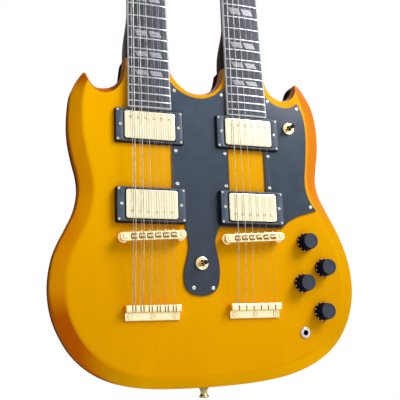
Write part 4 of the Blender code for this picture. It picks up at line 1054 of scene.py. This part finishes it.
def head_outline(unit):
    length = HEAD_LENGTH[unit]
    half = smooth_run([(x * HEAD_HALF_WIDTH, y * length) for x, y in HEAD_SHAPE], OUTLINE_STEPS)
    right = [(x, min(y, length)) for x, y in half]
    return mirrored(right[:1] + [point for point in right if point[1] > HEAD_FOOT])


def heel_section(t):
    """A section of the heel, from the body's shoulder at 0 to the plain neck at 1."""
    along = SHOULDER + SEAT + t * HEEL_LENGTH
    extra = 0.5 * (1 + math.cos(math.pi * t ** 1.7))
    half = board_width(along) / 2 + (HEEL_HALF_WIDTH - board_width(SHOULDER) / 2) * extra
    depth = NECK_DEPTH_HEEL + (HEEL_DEPTH - NECK_DEPTH_HEEL) * extra
    lean = math.tan(math.radians(NECK_TILT)) * (1 - t)
    return neck_section(along, half, depth, 0.75 - 0.55 * extra, lean=lean)


def neck_sections():
    """Over the body, down the heel, along the neck and round the volute under the headstock."""
    sections = []
    for along in (BOARD_END, SHOULDER):
        below = BOARD_RISE - BOARD_THICK - along * math.tan(math.radians(NECK_TILT)) + 0.4
        sections.append(neck_section(along, board_width(along) / 2 - 0.1, below, 0.3))
    sections += [heel_section(step / 12) for step in range(13)]
    low, high = SHOULDER + SEAT + HEEL_LENGTH, SCALE_LENGTH - 20
    for t in (0.25, 0.5, 0.75, 1.0):
        along = low + (high - low) * t
        depth = NECK_DEPTH_HEEL + (NECK_DEPTH_NUT - NECK_DEPTH_HEEL) * t
        sections.append(neck_section(along, board_width(along) / 2, depth))
    slope = math.tan(math.radians(HEAD_TILT))
    for reach, narrowing, extra in VOLUTE:
        sections.append(neck_section(SCALE_LENGTH + NUT_LENGTH + reach, NUT_WIDTH / 2 - narrowing,
                                     NECK_DEPTH_NUT + extra, drop=reach * slope + 0.4 * bool(reach)))
    return sections


def build_neck(unit):
    head = head_frame(unit)
    neck = solid("neck_wood_" + unit, Shape().loft(neck_sections()), neck_frame(unit))
    carve(neck, Shape().plate(head_outline(unit), -HEAD_THICK, -0.5, 1.2, both=True), "UNION", head)
    dress(neck, DARK_WOOD, replaces="neck_" + unit, crease=32)
    veneer = Shape().plate(inset(head_outline(unit), 0.8), -0.6, -0.1, 0.2)
    piece("head_veneer_" + unit, veneer, VENEER, head)
    build_truss_cover(unit, head)


def build_truss_cover(unit, head):
    """A bell-shaped plate over the truss rod's end, in two layers, with three screws."""
    outline = mirrored(smooth_run(TRUSS_COVER, 4))
    piece("truss_cover_rim_" + unit, Shape().plate(outline, -0.1, 0.9, 0.2), IVORY, head)
    piece("truss_cover_" + unit, Shape().plate(inset(outline, 0.9), 0.9, 1.5, 0.3), BLACK, head)
    places = [head @ at(x, y, 1.4) for x, y in TRUSS_SCREWS]
    screws("truss_cover_screws_" + unit, places, TRUSS_HEAD, GOLD)


# Fingerboards

def fret_place(number):
    return SCALE_LENGTH * 2 ** (-number / 12)


def crown(x):
    """How far the rounded fingerboard falls below its middle."""
    return -x * x / (2 * BOARD_RADIUS)


def board_section(along, left, right, top=0.0, steps=10):
    """A slice of the fingerboard between two places across it."""
    across = [left + (right - left) * i / steps for i in range(steps + 1)]
    foot = [(right, along, -BOARD_THICK), (left, along, -BOARD_THICK)]
    return [(x, along, crown(x) + top) for x in across] + foot


def build_board(unit):
    """Rosewood with binding strips on three sides, and what is set into it."""
    place = neck_frame(unit)
    near = BOARD_END + BINDING
    ends = [(y, board_width(y) / 2) for y in (near, SCALE_LENGTH - 0.1)]
    wood = [board_section(y, BINDING - half, half - BINDING) for y, half in ends]
    piece("board_wood_" + unit, Shape().loft(wood), ROSEWOOD, place, replaces="fingerboard_" + unit)
    strips = Shape()
    for side in (-1, 1):
        edges = [(y, *sorted((side * half, side * (half - BINDING)))) for y, half in ends]
        strips.loft([board_section(*edge, BINDING_LIFT, 3) for edge in edges])
    half = board_width(BOARD_END) / 2
    strips.loft([board_section(y, -half, half, BINDING_LIFT) for y in (BOARD_END, near)])
    piece("board_binding_" + unit, strips, IVORY, place)
    build_frets(unit, place)
    build_inlays(unit, place)
    build_nut(unit, place)


def fret_section(x, y, dome):
    """A slice of domed wire on the crowned board."""
    half = FRET_WIDTH / 2 * (0.8 + 0.2 * dome)
    base = crown(x)
    arc = [(x, y - half * math.cos(a), base + FRET_HEIGHT * dome * math.sin(a))
           for a in (math.pi * k / 8 for k in range(9))]
    return [(x, y - half, base - 0.6)] + arc + [(x, y + half, base - 0.6)]


def build_frets(unit, place):
    """Wires that slope down to the board at their ends."""
    frets = Shape()
    for number in range(1, FRET_COUNT + 1):
        y = fret_place(number)
        reach = board_width(y) / 2 - 0.4
        frets.loft([fret_section(reach * (i / 6 - 1), y, 0.35 if i in (0, 12) else 1.0) for i in range(13)])
    piece("fret_wires_" + unit, frets, NICKEL, place, crease=50)


def inlay_section(x, middle, reach):
    """A slanted slice of pearl, sunk in the crowned board."""
    low, high = x + INLAY_SLANT / 2, x - INLAY_SLANT / 2
    return [(low, middle - reach, crown(low) + 0.05), (high, middle + reach, crown(high) + 0.05),
            (high, middle + reach, crown(high) - 0.8), (low, middle - reach, crown(low) - 0.8)]


def build_inlays(unit, place):
    """Two slanted blocks of pearl in each marked fret space."""
    blocks = Shape()
    for number in INLAY_FRETS:
        low, high = fret_place(number), fret_place(number - 1)
        middle, reach = (low + high) / 2, (high - low) * INLAY_SHARE / 2
        scale = board_width(middle) / BOARD_END_WIDTH
        for left, right in INLAY_EDGES:
            across = [(left + (right - left) * i / 4) * scale for i in range(5)]
            blocks.loft([inlay_section(x, middle, reach) for x in across])
    piece("pearl_inlays_" + unit, blocks, PEARL, place)


def string_offsets(unit, pitch, spread):
    courses = six_across(pitch)
    if unit == "6":
        return courses
    return [course + side * spread / 2 for course in courses for side in (-1, 1)]


def gauges(unit):
    if unit == "6":
        return GAUGES_6
    return [gauge for pair in zip(OCTAVE_GAUGES, GAUGES_6) for gauge in pair]


def build_nut(unit, place):
    """A slotted nut: its top is a comb of notches that the strings lie in."""
    half, top = NUT_WIDTH / 2, NUT_HEIGHT
    profile = [(-half, 0.4), (-half + 0.8, top)]
    for x, gauge in zip(string_offsets(unit, NUT_COURSE_PITCH, NUT_PAIR_SPREAD), gauges(unit)):
        reach = gauge / 2 + 0.12
        profile += [(x - reach, top), (x - reach * 0.7, top - 0.25),
                    (x + reach * 0.7, top - 0.25), (x + reach, top)]
    profile += [(half - 0.8, top), (half, 0.4), (half, -BOARD_THICK), (-half, -BOARD_THICK)]
    ends = (SCALE_LENGTH + 0.05, SCALE_LENGTH + NUT_LENGTH - 0.05)
    rings = [[(x, y, z) for x, z in profile] for y in ends]
    piece("slotted_nut_" + unit, Shape().loft(rings), IVORY, place, replaces="nut_" + unit)


# Bridges and tailpieces

def saddle_rings(x, shift):
    """A saddle's section at both of its ends."""
    reach, half = SADDLE_REACH
    profile = [(-half, BRIDGE_FLOOR), (half, BRIDGE_FLOOR), (half, BRIDGE_TOP - 0.4),
               (half * 0.6, SADDLE_TOP - 0.9), (0.5, SADDLE_TOP), (-0.5, SADDLE_TOP),
               (-half * 0.7, SADDLE_TOP - 1.3), (-half, BRIDGE_TOP - 1)]
    return [[(end, y + shift, z) for y, z in profile] for end in (x - reach, x + reach)]


def build_bridge(unit):
    """A bar with six pockets, a saddle and its screw in each, on posts with thumbwheels."""
    place = bridge_frame(unit)
    outline = rounded_rectangle(*BRIDGE_SIZE, BRIDGE_CORNER)
    block = Shape().plate(outline, BRIDGE_BASE, BRIDGE_TOP, BRIDGE_EDGE, both=True)
    bar = solid("bridge_bar_" + unit, block, place)
    pockets, holes, saddles = Shape(), Shape(), Shape()
    screw_places = []
    for index, x in enumerate(six_across(COURSE_PITCH)):
        pockets.box((x, -0.2, BRIDGE_TOP), (*POCKET, 2 * (BRIDGE_TOP - BRIDGE_FLOOR)), 0.4)
        saddles.loft(saddle_rings(x, 0.27 if index % 2 else -0.21))
        screw = at(x, BRIDGE_SIZE[1] / 2, (BRIDGE_TOP + BRIDGE_FLOOR) / 2 + 0.6)
        screw_places.append(place @ screw @ turned("X", -90))
    studs = {label: side * STUD_SPACING / 2 for label, side in SIDES.items()}
    for x in studs.values():
        holes.plate(circle(STUD_RADIUS + 0.25, 24, (x, 0)), BRIDGE_BASE - PAST, BRIDGE_TOP + PAST)
    carve(bar, pockets, place=place)
    carve(bar, holes, place=place)
    dress(bar, GOLD, replaces="bridge_" + unit, crease=32)
    piece("saddles_" + unit, saddles, GOLD, place)
    screws("saddle_screws_" + unit, screw_places, SADDLE_HEAD, GOLD, slotted_head)
    for label, x in studs.items():
        build_post(f"{unit}_{label}", place @ at(x))


def build_post(label, place):
    """A threaded stud with a slot in its top, and a fluted thumbwheel."""
    root, steps = STUD_RADIUS * 0.9, 2 * STUD_THREADS
    high = BRIDGE_BASE - SEAT
    low = high - WHEEL_THICK
    rise = (BRIDGE_BASE + STUD_DEPTH - 1.5) / steps
    profile = [(root, -STUD_DEPTH)]
    profile += [(STUD_RADIUS if k % 2 else root, 0.5 - STUD_DEPTH + rise * k) for k in range(steps)]
    profile += [(STUD_RADIUS, high), (STUD_RADIUS, BRIDGE_TOP - 0.2)]
    stud = Shape().turn(profile, 20, place)
    slotted_head(stud, place @ at(0, 0, BRIDGE_TOP - 0.2), STUD_RADIUS, 1.0)
    wheel = [(STUD_RADIUS, low), (WHEEL_RADIUS - 0.8, low), (WHEEL_RADIUS, low + 0.5),
             (WHEEL_RADIUS, high - 0.5), (WHEEL_RADIUS - 0.8, high), (STUD_RADIUS, high)]
    stud.turn(wheel, 96, place, flutes=24, flute_depth=0.35, fluted=(2, 3))
    piece("bridge_stud_" + label, stud, GOLD, WORLD, replaces="bridge_post_" + label)


def tail_section():
    """The side view of the tailpiece's plate and of the bar that rises from it."""
    low, high = TAIL_BAR
    end, top, plate = TAIL_PLATE_END, TAIL_BAR_TOP, TAIL_PLATE_TOP
    return [(end, SEAT), (high, SEAT), (high, top - 2), (high - 0.6, top - 0.7), (high - 2, top),
            (low + 2, top), (low + 0.6, top - 0.7), (low, top - 2), (low, plate + 0.8),
            (low - 0.8, plate), (end + 1, plate), (end, plate - 0.8)]


def build_tailpiece(unit):
    """A bar with a slot for each string and a groove for the ball ends, and three sunk screws."""
    spot = FACE @ at(UNITS[unit])
    low, high = TAIL_BAR
    half = TAIL_WIDTH / 2
    ends = ((-half, 0.4), (-half + 0.4, 0.0), (half - 0.4, 0.0), (half, 0.4))
    rings = [[(x, y, z) for y, z in inset(tail_section(), gap)] for x, gap in ends]
    tail = solid("string_anchor_" + unit, Shape().loft(rings), spot)
    slots, groove, sinks = Shape(), Shape(), Shape()
    for x in string_offsets(unit, COURSE_PITCH, SLOT_PAIR_SPREAD):
        size = (TAIL_SLOT, high - low + 2, 2 * (TAIL_BAR_TOP - TAIL_SLOT_FLOOR))
        slots.box((x, (low + high) / 2, TAIL_BAR_TOP), size, 0.3)
    size = (TAIL_WIDTH - 6, 2 * TAIL_GROOVE, BALL_RADIUS * 2.3)
    groove.box((0, low, TAIL_SLOT_FLOOR + STRING_IN_SLOT), size, 0.2)
    radius, depth = TAIL_SINK
    sunk = TAIL_PLATE_TOP - depth
    for centre in TAIL_SCREWS:
        sinks.plate(circle(radius, 24, centre), sunk, TAIL_PLATE_TOP + PAST)
    for cutter in (slots, groove, sinks):
        carve(tail, cutter, place=spot)
    dress(tail, GOLD, replaces="tailpiece_" + unit, crease=30)
    places = [spot @ at(*centre, sunk) for centre in TAIL_SCREWS]
    screws("anchor_screws_" + unit, places, ANCHOR_HEAD, GOLD, slotted_head)


# Strings

def tuner_places(unit):
    """Each post's (across, along) and its side, first along the low side and then the high side."""
    for side in (-1, 1):
        for index in range(TUNERS_PER_SIDE[unit]):
            yield (side * POST_OFFSET, FIRST_TUNER + index * TUNER_PITCH[unit]), side


def post_order(unit):
    """The posts in the order of the strings: up the low side and down the high one."""
    count = TUNERS_PER_SIDE[unit]
    places = [place for place, _ in tuner_places(unit)]
    return places[:count] + list(reversed(places[count:]))


def string_path(unit, index, radius):
    """Ball end, tailpiece slot, saddle, nut, and the turns down the post."""
    tail_x = UNITS[unit] + string_offsets(unit, COURSE_PITCH, SLOT_PAIR_SPREAD)[index]
    bridge_x = string_offsets(unit, COURSE_PITCH, PAIR_SPREAD)[index]
    nut_x = string_offsets(unit, NUT_COURSE_PITCH, NUT_PAIR_SPREAD)[index]
    ball = TAIL_BAR[0] + TAIL_GROOVE - 0.3
    level = TAIL_SLOT_FLOOR + STRING_IN_SLOT
    lift = STRING_LIFT + radius
    board, head = neck_frame(unit), head_frame(unit)
    points = [FACE @ Vector((tail_x, ball + shift, level)) for shift in (-3.1, 0, 0.2, 2)]
    points.append(bridge_frame(unit) @ Vector((bridge_x, 0, SADDLE_TOP + lift)))
    points += [board @ Vector((nut_x, SCALE_LENGTH + y, NUT_HEIGHT + lift)) for y in (0.8, NUT_LENGTH)]
    x, y = post_order(unit)[index]
    side = -1 if x < 0 else 1
    wrap = POST_RADIUS + 0.02 + radius
    for turn in (step / TURN_STEPS for step in range(STRING_TURNS * TURN_STEPS + 1)):
        angle = math.pi - 2 * math.pi * turn
        drop = max(2.1 * radius, 0.5) * turn
        points.append(head @ Vector((x + side * wrap * math.cos(angle), y + wrap * math.sin(angle),
                                     WRAP_LEVEL - drop)))
    return points, [BALL_RADIUS, BALL_RADIUS] + [radius] * (len(points) - 2)


def build_strings(unit):
    """Every string is a wire of its own; the wound ones have another finish."""
    for index, gauge in enumerate(gauges(unit)):
        look = WOUND_WIRE if gauge > WOUND_FROM else PLAIN_WIRE
        shape = Shape().sweep(*string_path(unit, index, gauge / 2))
        replaced = "" if index else "strings_" + unit
        piece(f"string_{unit}_{index + 1:02d}", shape, look, WORLD, replaces=replaced, crease=60)


# Tuning machines

def kidney(half_height, half_thick, steps=20):
    """The section of a tuner button: an oval with a slight waist."""
    ring = []
    for i in range(steps):
        angle = 2 * math.pi * i / steps
        waist = 1 - 0.12 * math.cos(2 * angle) ** 2
        ring.append((half_height * math.cos(angle), half_thick * math.sin(angle) * waist))
    return ring


def button_solid():
    """The worm shaft, a collar, and the smooth flattened button, along X."""
    gap, sideways = BUTTON_GAP, turned("Y", 90)
    shape = Shape().turn([(WORM_RADIUS, -8.5), (WORM_RADIUS, gap - 1)], 20, sideways)
    shape.turn([(2.6, gap - 1), (3.1, gap - 0.6), (3.1, gap + 0.4), (2.6, gap + 0.8)], 24, sideways)
    rings = []
    for reach, tall, thick in BUTTON_STATIONS:
        section = kidney(tall * BUTTON_HALF_HEIGHT, thick * BUTTON_HALF_THICK)
        rings.append([(gap + reach * BUTTON_REACH, y, z) for y, z in section])
    return shape.loft(rings)


def post_solid(shape, place):
    """A string post with a waist for the wraps and a rounded top, above the headstock."""
    profile = [(4.4, 0.1), (4.4, 1.2), (POST_RADIUS, 1.5), (POST_RADIUS, POST_HEIGHT - 2),
               (POST_RADIUS, POST_HEIGHT - 0.6), (POST_RADIUS - 0.6, POST_HEIGHT), (1.2, POST_HEIGHT)]
    shape.turn(profile, 24, place)


def build_housings(unit, label, spots):
    """One side's plate with its housings and posts, the bush nuts, and a screw at each end."""
    head, across = head_frame(unit), SIDES[label] * POST_OFFSET
    label = f"{unit}_{label}"
    low = spots[0][1] - WORM_OFFSET / 2 - PLATE_END
    high = spots[-1][1] - WORM_OFFSET / 2 + PLATE_END
    strip = rounded_rectangle(HOUSING_WIDTH, high - low, 2, (across, (low + high) / 2))
    shape = Shape().plate(strip, HEAD_BACK - PLATE_THICK, HEAD_BACK, 0.3, both=True)
    nuts = Shape()
    for x, y in spots:
        shape.box((x, y - WORM_OFFSET / 2, HEAD_BACK - HOUSING[2] / 2), HOUSING, 1.6)
        post_solid(shape, at(x, y))
        nuts.turn([(BUSH_RADIUS, 0.0), (BUSH_RADIUS, 0.5), (BUSH_RADIUS - 0.5, 0.8)], 32, at(x, y, -0.1))
        nuts.plate(circle(BUSH_NUT_RADIUS, 6, (x, y), 0.25), 0.6, 2.2, 0.4)
    piece("tuner_housings_" + label, shape, GOLD, head, replaces="tuner_plate_" + label)
    piece("bush_nuts_" + label, nuts, GOLD, head)
    ends = [head @ at(across, y, HEAD_BACK - PLATE_THICK) @ turned("Y", 180)
            for y in (low + PLATE_SCREW, high - PLATE_SCREW)]
    screws("tuner_screws_" + label, ends, TUNER_HEAD, GOLD)


def build_tuners(unit):
    """The fixed housings on each side, and every button on a joint of its own."""
    places = list(tuner_places(unit))
    for label, side in SIDES.items():
        build_housings(unit, label, [place for place, its_side in places if its_side == side])
    for number, ((x, y), side) in enumerate(places, start=1):
        label = f"{unit}_{number:02d}"
        housing = head_frame(unit) @ at(x, y, HEAD_BACK - HOUSING[2] / 2) @ turned("Y", 90 - 90 * side)
        spot = housing @ at(HOUSING_WIDTH / 2, -WORM_OFFSET)
        piece("machine_button_" + label, button_solid(), GOLD, spot, f"tuner_button_{label}_body",
              "tuner_button_" + label)


# Controls

def knob_solid():
    """The cap with its fluted grip and bevelled skirt, on its shaft."""
    low, high = KNOB_LOW, KNOB_LOW + KNOB_HEIGHT
    top, base = KNOB_TOP_RADIUS, KNOB_BASE_RADIUS
    profile = [(8.2, low), (base - 0.3, low), (base, low + 0.3), (base, low + 2.2), (base - 0.5, low + 2.9),
               (top + 0.9, low + 3.6), (top + 0.6, low + 4.4), (top + 0.5, low + 6),
               (top + 0.1, high - 2.2), (top, high - 1.2), (top - 0.4, high - 0.4), (top - 1.0, high),
               (top - 2.2, high), (top - 2.6, high - 0.35)]
    knob = Shape().turn(profile, KNOB_FLUTES * 6, None, KNOB_FLUTES, 0.45, (7, 8, 9))
    return knob.turn([(SHAFT_RADIUS, -FACE_WALL), (SHAFT_RADIUS, low + 0.1)], 24)


def knob_marks():
    """A ring of dots on the bevelled skirt."""
    dots = Shape()
    on_skirt = at(KNOB_BASE_RADIUS - 0.25, 0, KNOB_LOW + 2.55) @ turned("Y", 58)
    for k in range(KNOB_DOTS):
        place = turned("Z", 360 * (k + 0.5) / KNOB_DOTS) @ on_skirt
        dots.turn([(0.8, -0.3), (0.8, 0.05), (0.55, 0.12)], 12, place)
    return dots


def build_knobs():
    for name, place in KNOBS.items():
        spot, body = FACE @ at(*place), name + "_body"
        piece(name + "_cap", knob_solid(), KNOB_BLACK, spot, body, name, crease=30)
        piece(name + "_marks", knob_marks(), WHITE, spot, body)


def toggle_barrel():
    """The profile of a knurled dress nut and of the bush and bore under it."""
    seat, bush, floor = GUARD_TOP + SEAT, SWITCH_BUSH_RADIUS, 2 - SWITCH_DEPTH
    top = seat + SWITCH_NUT_THICK
    radius, bore = SWITCH_NUT_RADIUS, SWITCH_BORE
    return [(0, floor), (bore, floor), (bore, top + 0.8), (bore + 0.3, top + 1.1),
            (bore + 1.3, top + 1.1), (bore + 1.6, top + 0.8), (bore + 1.6, top - 0.4),
            (radius - 1.4, top), (radius - 0.5, top - 0.3), (radius, top - 0.9), (radius, seat + 0.5),
            (radius - 0.4, seat), (bush, seat), (bush, -SWITCH_DEPTH), (0, -SWITCH_DEPTH)]


def build_switches():
    """A nut and bush round a bore, and a lever with a round seat and a plastic tip in it."""
    neck, top, radius = LEVER_HEIGHT - LEVER_TIP_LENGTH, LEVER_HEIGHT, LEVER_TIP_RADIUS
    arm = [(LEVER_BALL * math.sin(a), -LEVER_BALL * math.cos(a)) for a in
           (math.radians(degrees) for degrees in (8, 30, 52, 75, 97, 120, 138, 155))]
    arm += [(LEVER_RADIUS, arm[-1][1]), (LEVER_RADIUS, neck + 1)]
    tip = [(LEVER_RADIUS + 0.4, neck), (radius * 0.78, neck + 0.3), (radius * 0.82, neck + 2),
           (radius * 0.95, top - 5), (radius, top - 3), (radius * 0.9, top - 1.4),
           (radius * 0.62, top - 0.4), (radius * 0.25, top)]
    for name, place in SWITCHES.items():
        spot, lever = FACE @ at(*place), name + "_switch_lever"
        barrel = Shape().turn(toggle_barrel(), 120, None, 30, 0.3, (9, 10))
        piece(name + "_toggle_nut", barrel, GOLD, spot, replaces=name + "_switch", crease=30)
        piece(name + "_toggle_arm", Shape().turn(arm, 20), GOLD, spot, lever + "_body")
        piece(name + "_toggle_tip", Shape().turn(tip, 28), BLACK, spot, lever + "_body", lever)


def build_jack():
    """A threaded barrel in a washer and a round nut, open for the plug."""
    top = SEAT + JACK_FLANGE_THICK
    end, radius = top - JACK_LENGTH, JACK_FLANGE_RADIUS
    profile = [(JACK_BORE, end), (JACK_RADIUS, end), (JACK_RADIUS, SEAT), (radius, SEAT),
               (radius, SEAT + 0.6), (radius - 0.7, SEAT + 0.8), (radius - 0.8, top - 0.4),
               (radius - 1.2, top), (JACK_BORE + 0.5, top), (JACK_BORE, top - 0.4)]
    barrel = Shape().turn(profile, 40, loop=True)
    piece("jack_nut", barrel, CHROME, FACE @ at(*JACK_PLACE), replaces="output_jack", crease=30)


def build_strap_buttons():
    """One at the bottom of the body, and one on its back."""
    edge = min(station[1] for station in OUTER_RUN) - SEAT
    bottom = FACE @ at(BOTTOM_BUTTON_X, edge, -BODY_DEPTH / 2) @ OUTWARD
    behind = FACE @ at(*BACK_BUTTON_PLACE, -BODY_DEPTH - SEAT) @ turned("Y", 180)
    for name, place in (("bottom", bottom), ("back", behind)):
        shape = Shape().turn(STRAP_PROFILE, 40)
        cross_head(shape, at(0, 0, 10.9), *STRAP_HEAD)
        piece("strap_knob_" + name, shape, DARKENED_GOLD, place, replaces="strap_button_" + name)


# Stage

def build_camera():
    """The photograph's viewing angle: slightly below and to the left of the body."""
    camera = bpy.data.objects.new("camera", bpy.data.cameras.new("camera"))
    bpy.context.scene.collection.objects.link(camera)
    bpy.context.scene.camera = camera
    camera.data.lens = CAMERA_LENS
    camera.data.clip_start = 0.05
    camera.data.clip_end = 30
    axes = Matrix((CAMERA_RIGHT, CAMERA_UP, CAMERA_RIGHT.cross(CAMERA_UP))).transposed()
    camera.matrix_world = Matrix.Translation(CAMERA_PLACE) @ axes.to_4x4()


def build_floor():
    bpy.ops.mesh.primitive_plane_add(size=FLOOR_SIZE, location=(0, 0, cad_low.z - FLOOR_DROP))
    floor = bpy.context.object
    floor.name = "floor"
    look = Look("pale_floor", 0.8)
    look.set("Base Color", look.tones(look.noise(3), (238, 238, 236), (246, 246, 245)))
    floor.data.materials.append(look.mat)


def build_world():
    """White to the camera and to mirrors and glass, and a softer light on the object."""
    world = bpy.data.worlds.new("world")
    bpy.context.scene.world = world
    world.use_nodes = True
    tree = world.node_tree
    tree.nodes.clear()
    seen = shade(tree, "LightPath", "Is Camera Ray")
    for ray in ("Is Glossy Ray", "Is Transmission Ray"):
        rays = {0: seen, 1: shade(tree, "LightPath", ray)}
        seen = shade(tree, "Math", "Value", rays, operation="MAXIMUM")
    soft, white = [shade(tree, "Background", 0, {"Color": FULL, "Strength": strength})
                   for strength in (SKY_LIGHT, 1.0)]
    sky = shade(tree, "MixShader", 0, {0: seen, 1: soft, 2: white})
    tree.links.new(sky, tree.nodes.new("ShaderNodeOutputWorld").inputs["Surface"])


def build_lamp(name, place, aim, size, power):
    light = bpy.data.lights.new(name, "AREA")
    light.size = size
    light.energy = power
    obj = bpy.data.objects.new(name, light)
    obj.location = place
    obj.rotation_mode = "QUATERNION"
    obj.rotation_quaternion = (Vector(aim) - Vector(place)).to_track_quat("-Z", "Y")
    bpy.context.scene.collection.objects.link(obj)


build_camera()
build_floor()
build_world()
for name, lamp in LAMPS.items():
    build_lamp(name, *lamp)
bpy.context.scene.view_settings.view_transform = "Standard"

build_body()
build_rear_cover()
build_pickguard()
build_pickups()
for unit in UNITS:
    build_neck(unit)
    build_board(unit)
    build_bridge(unit)
    build_tailpiece(unit)
    build_strings(unit)
    build_tuners(unit)
build_knobs()
build_switches()
build_jack()
build_strap_buttons()
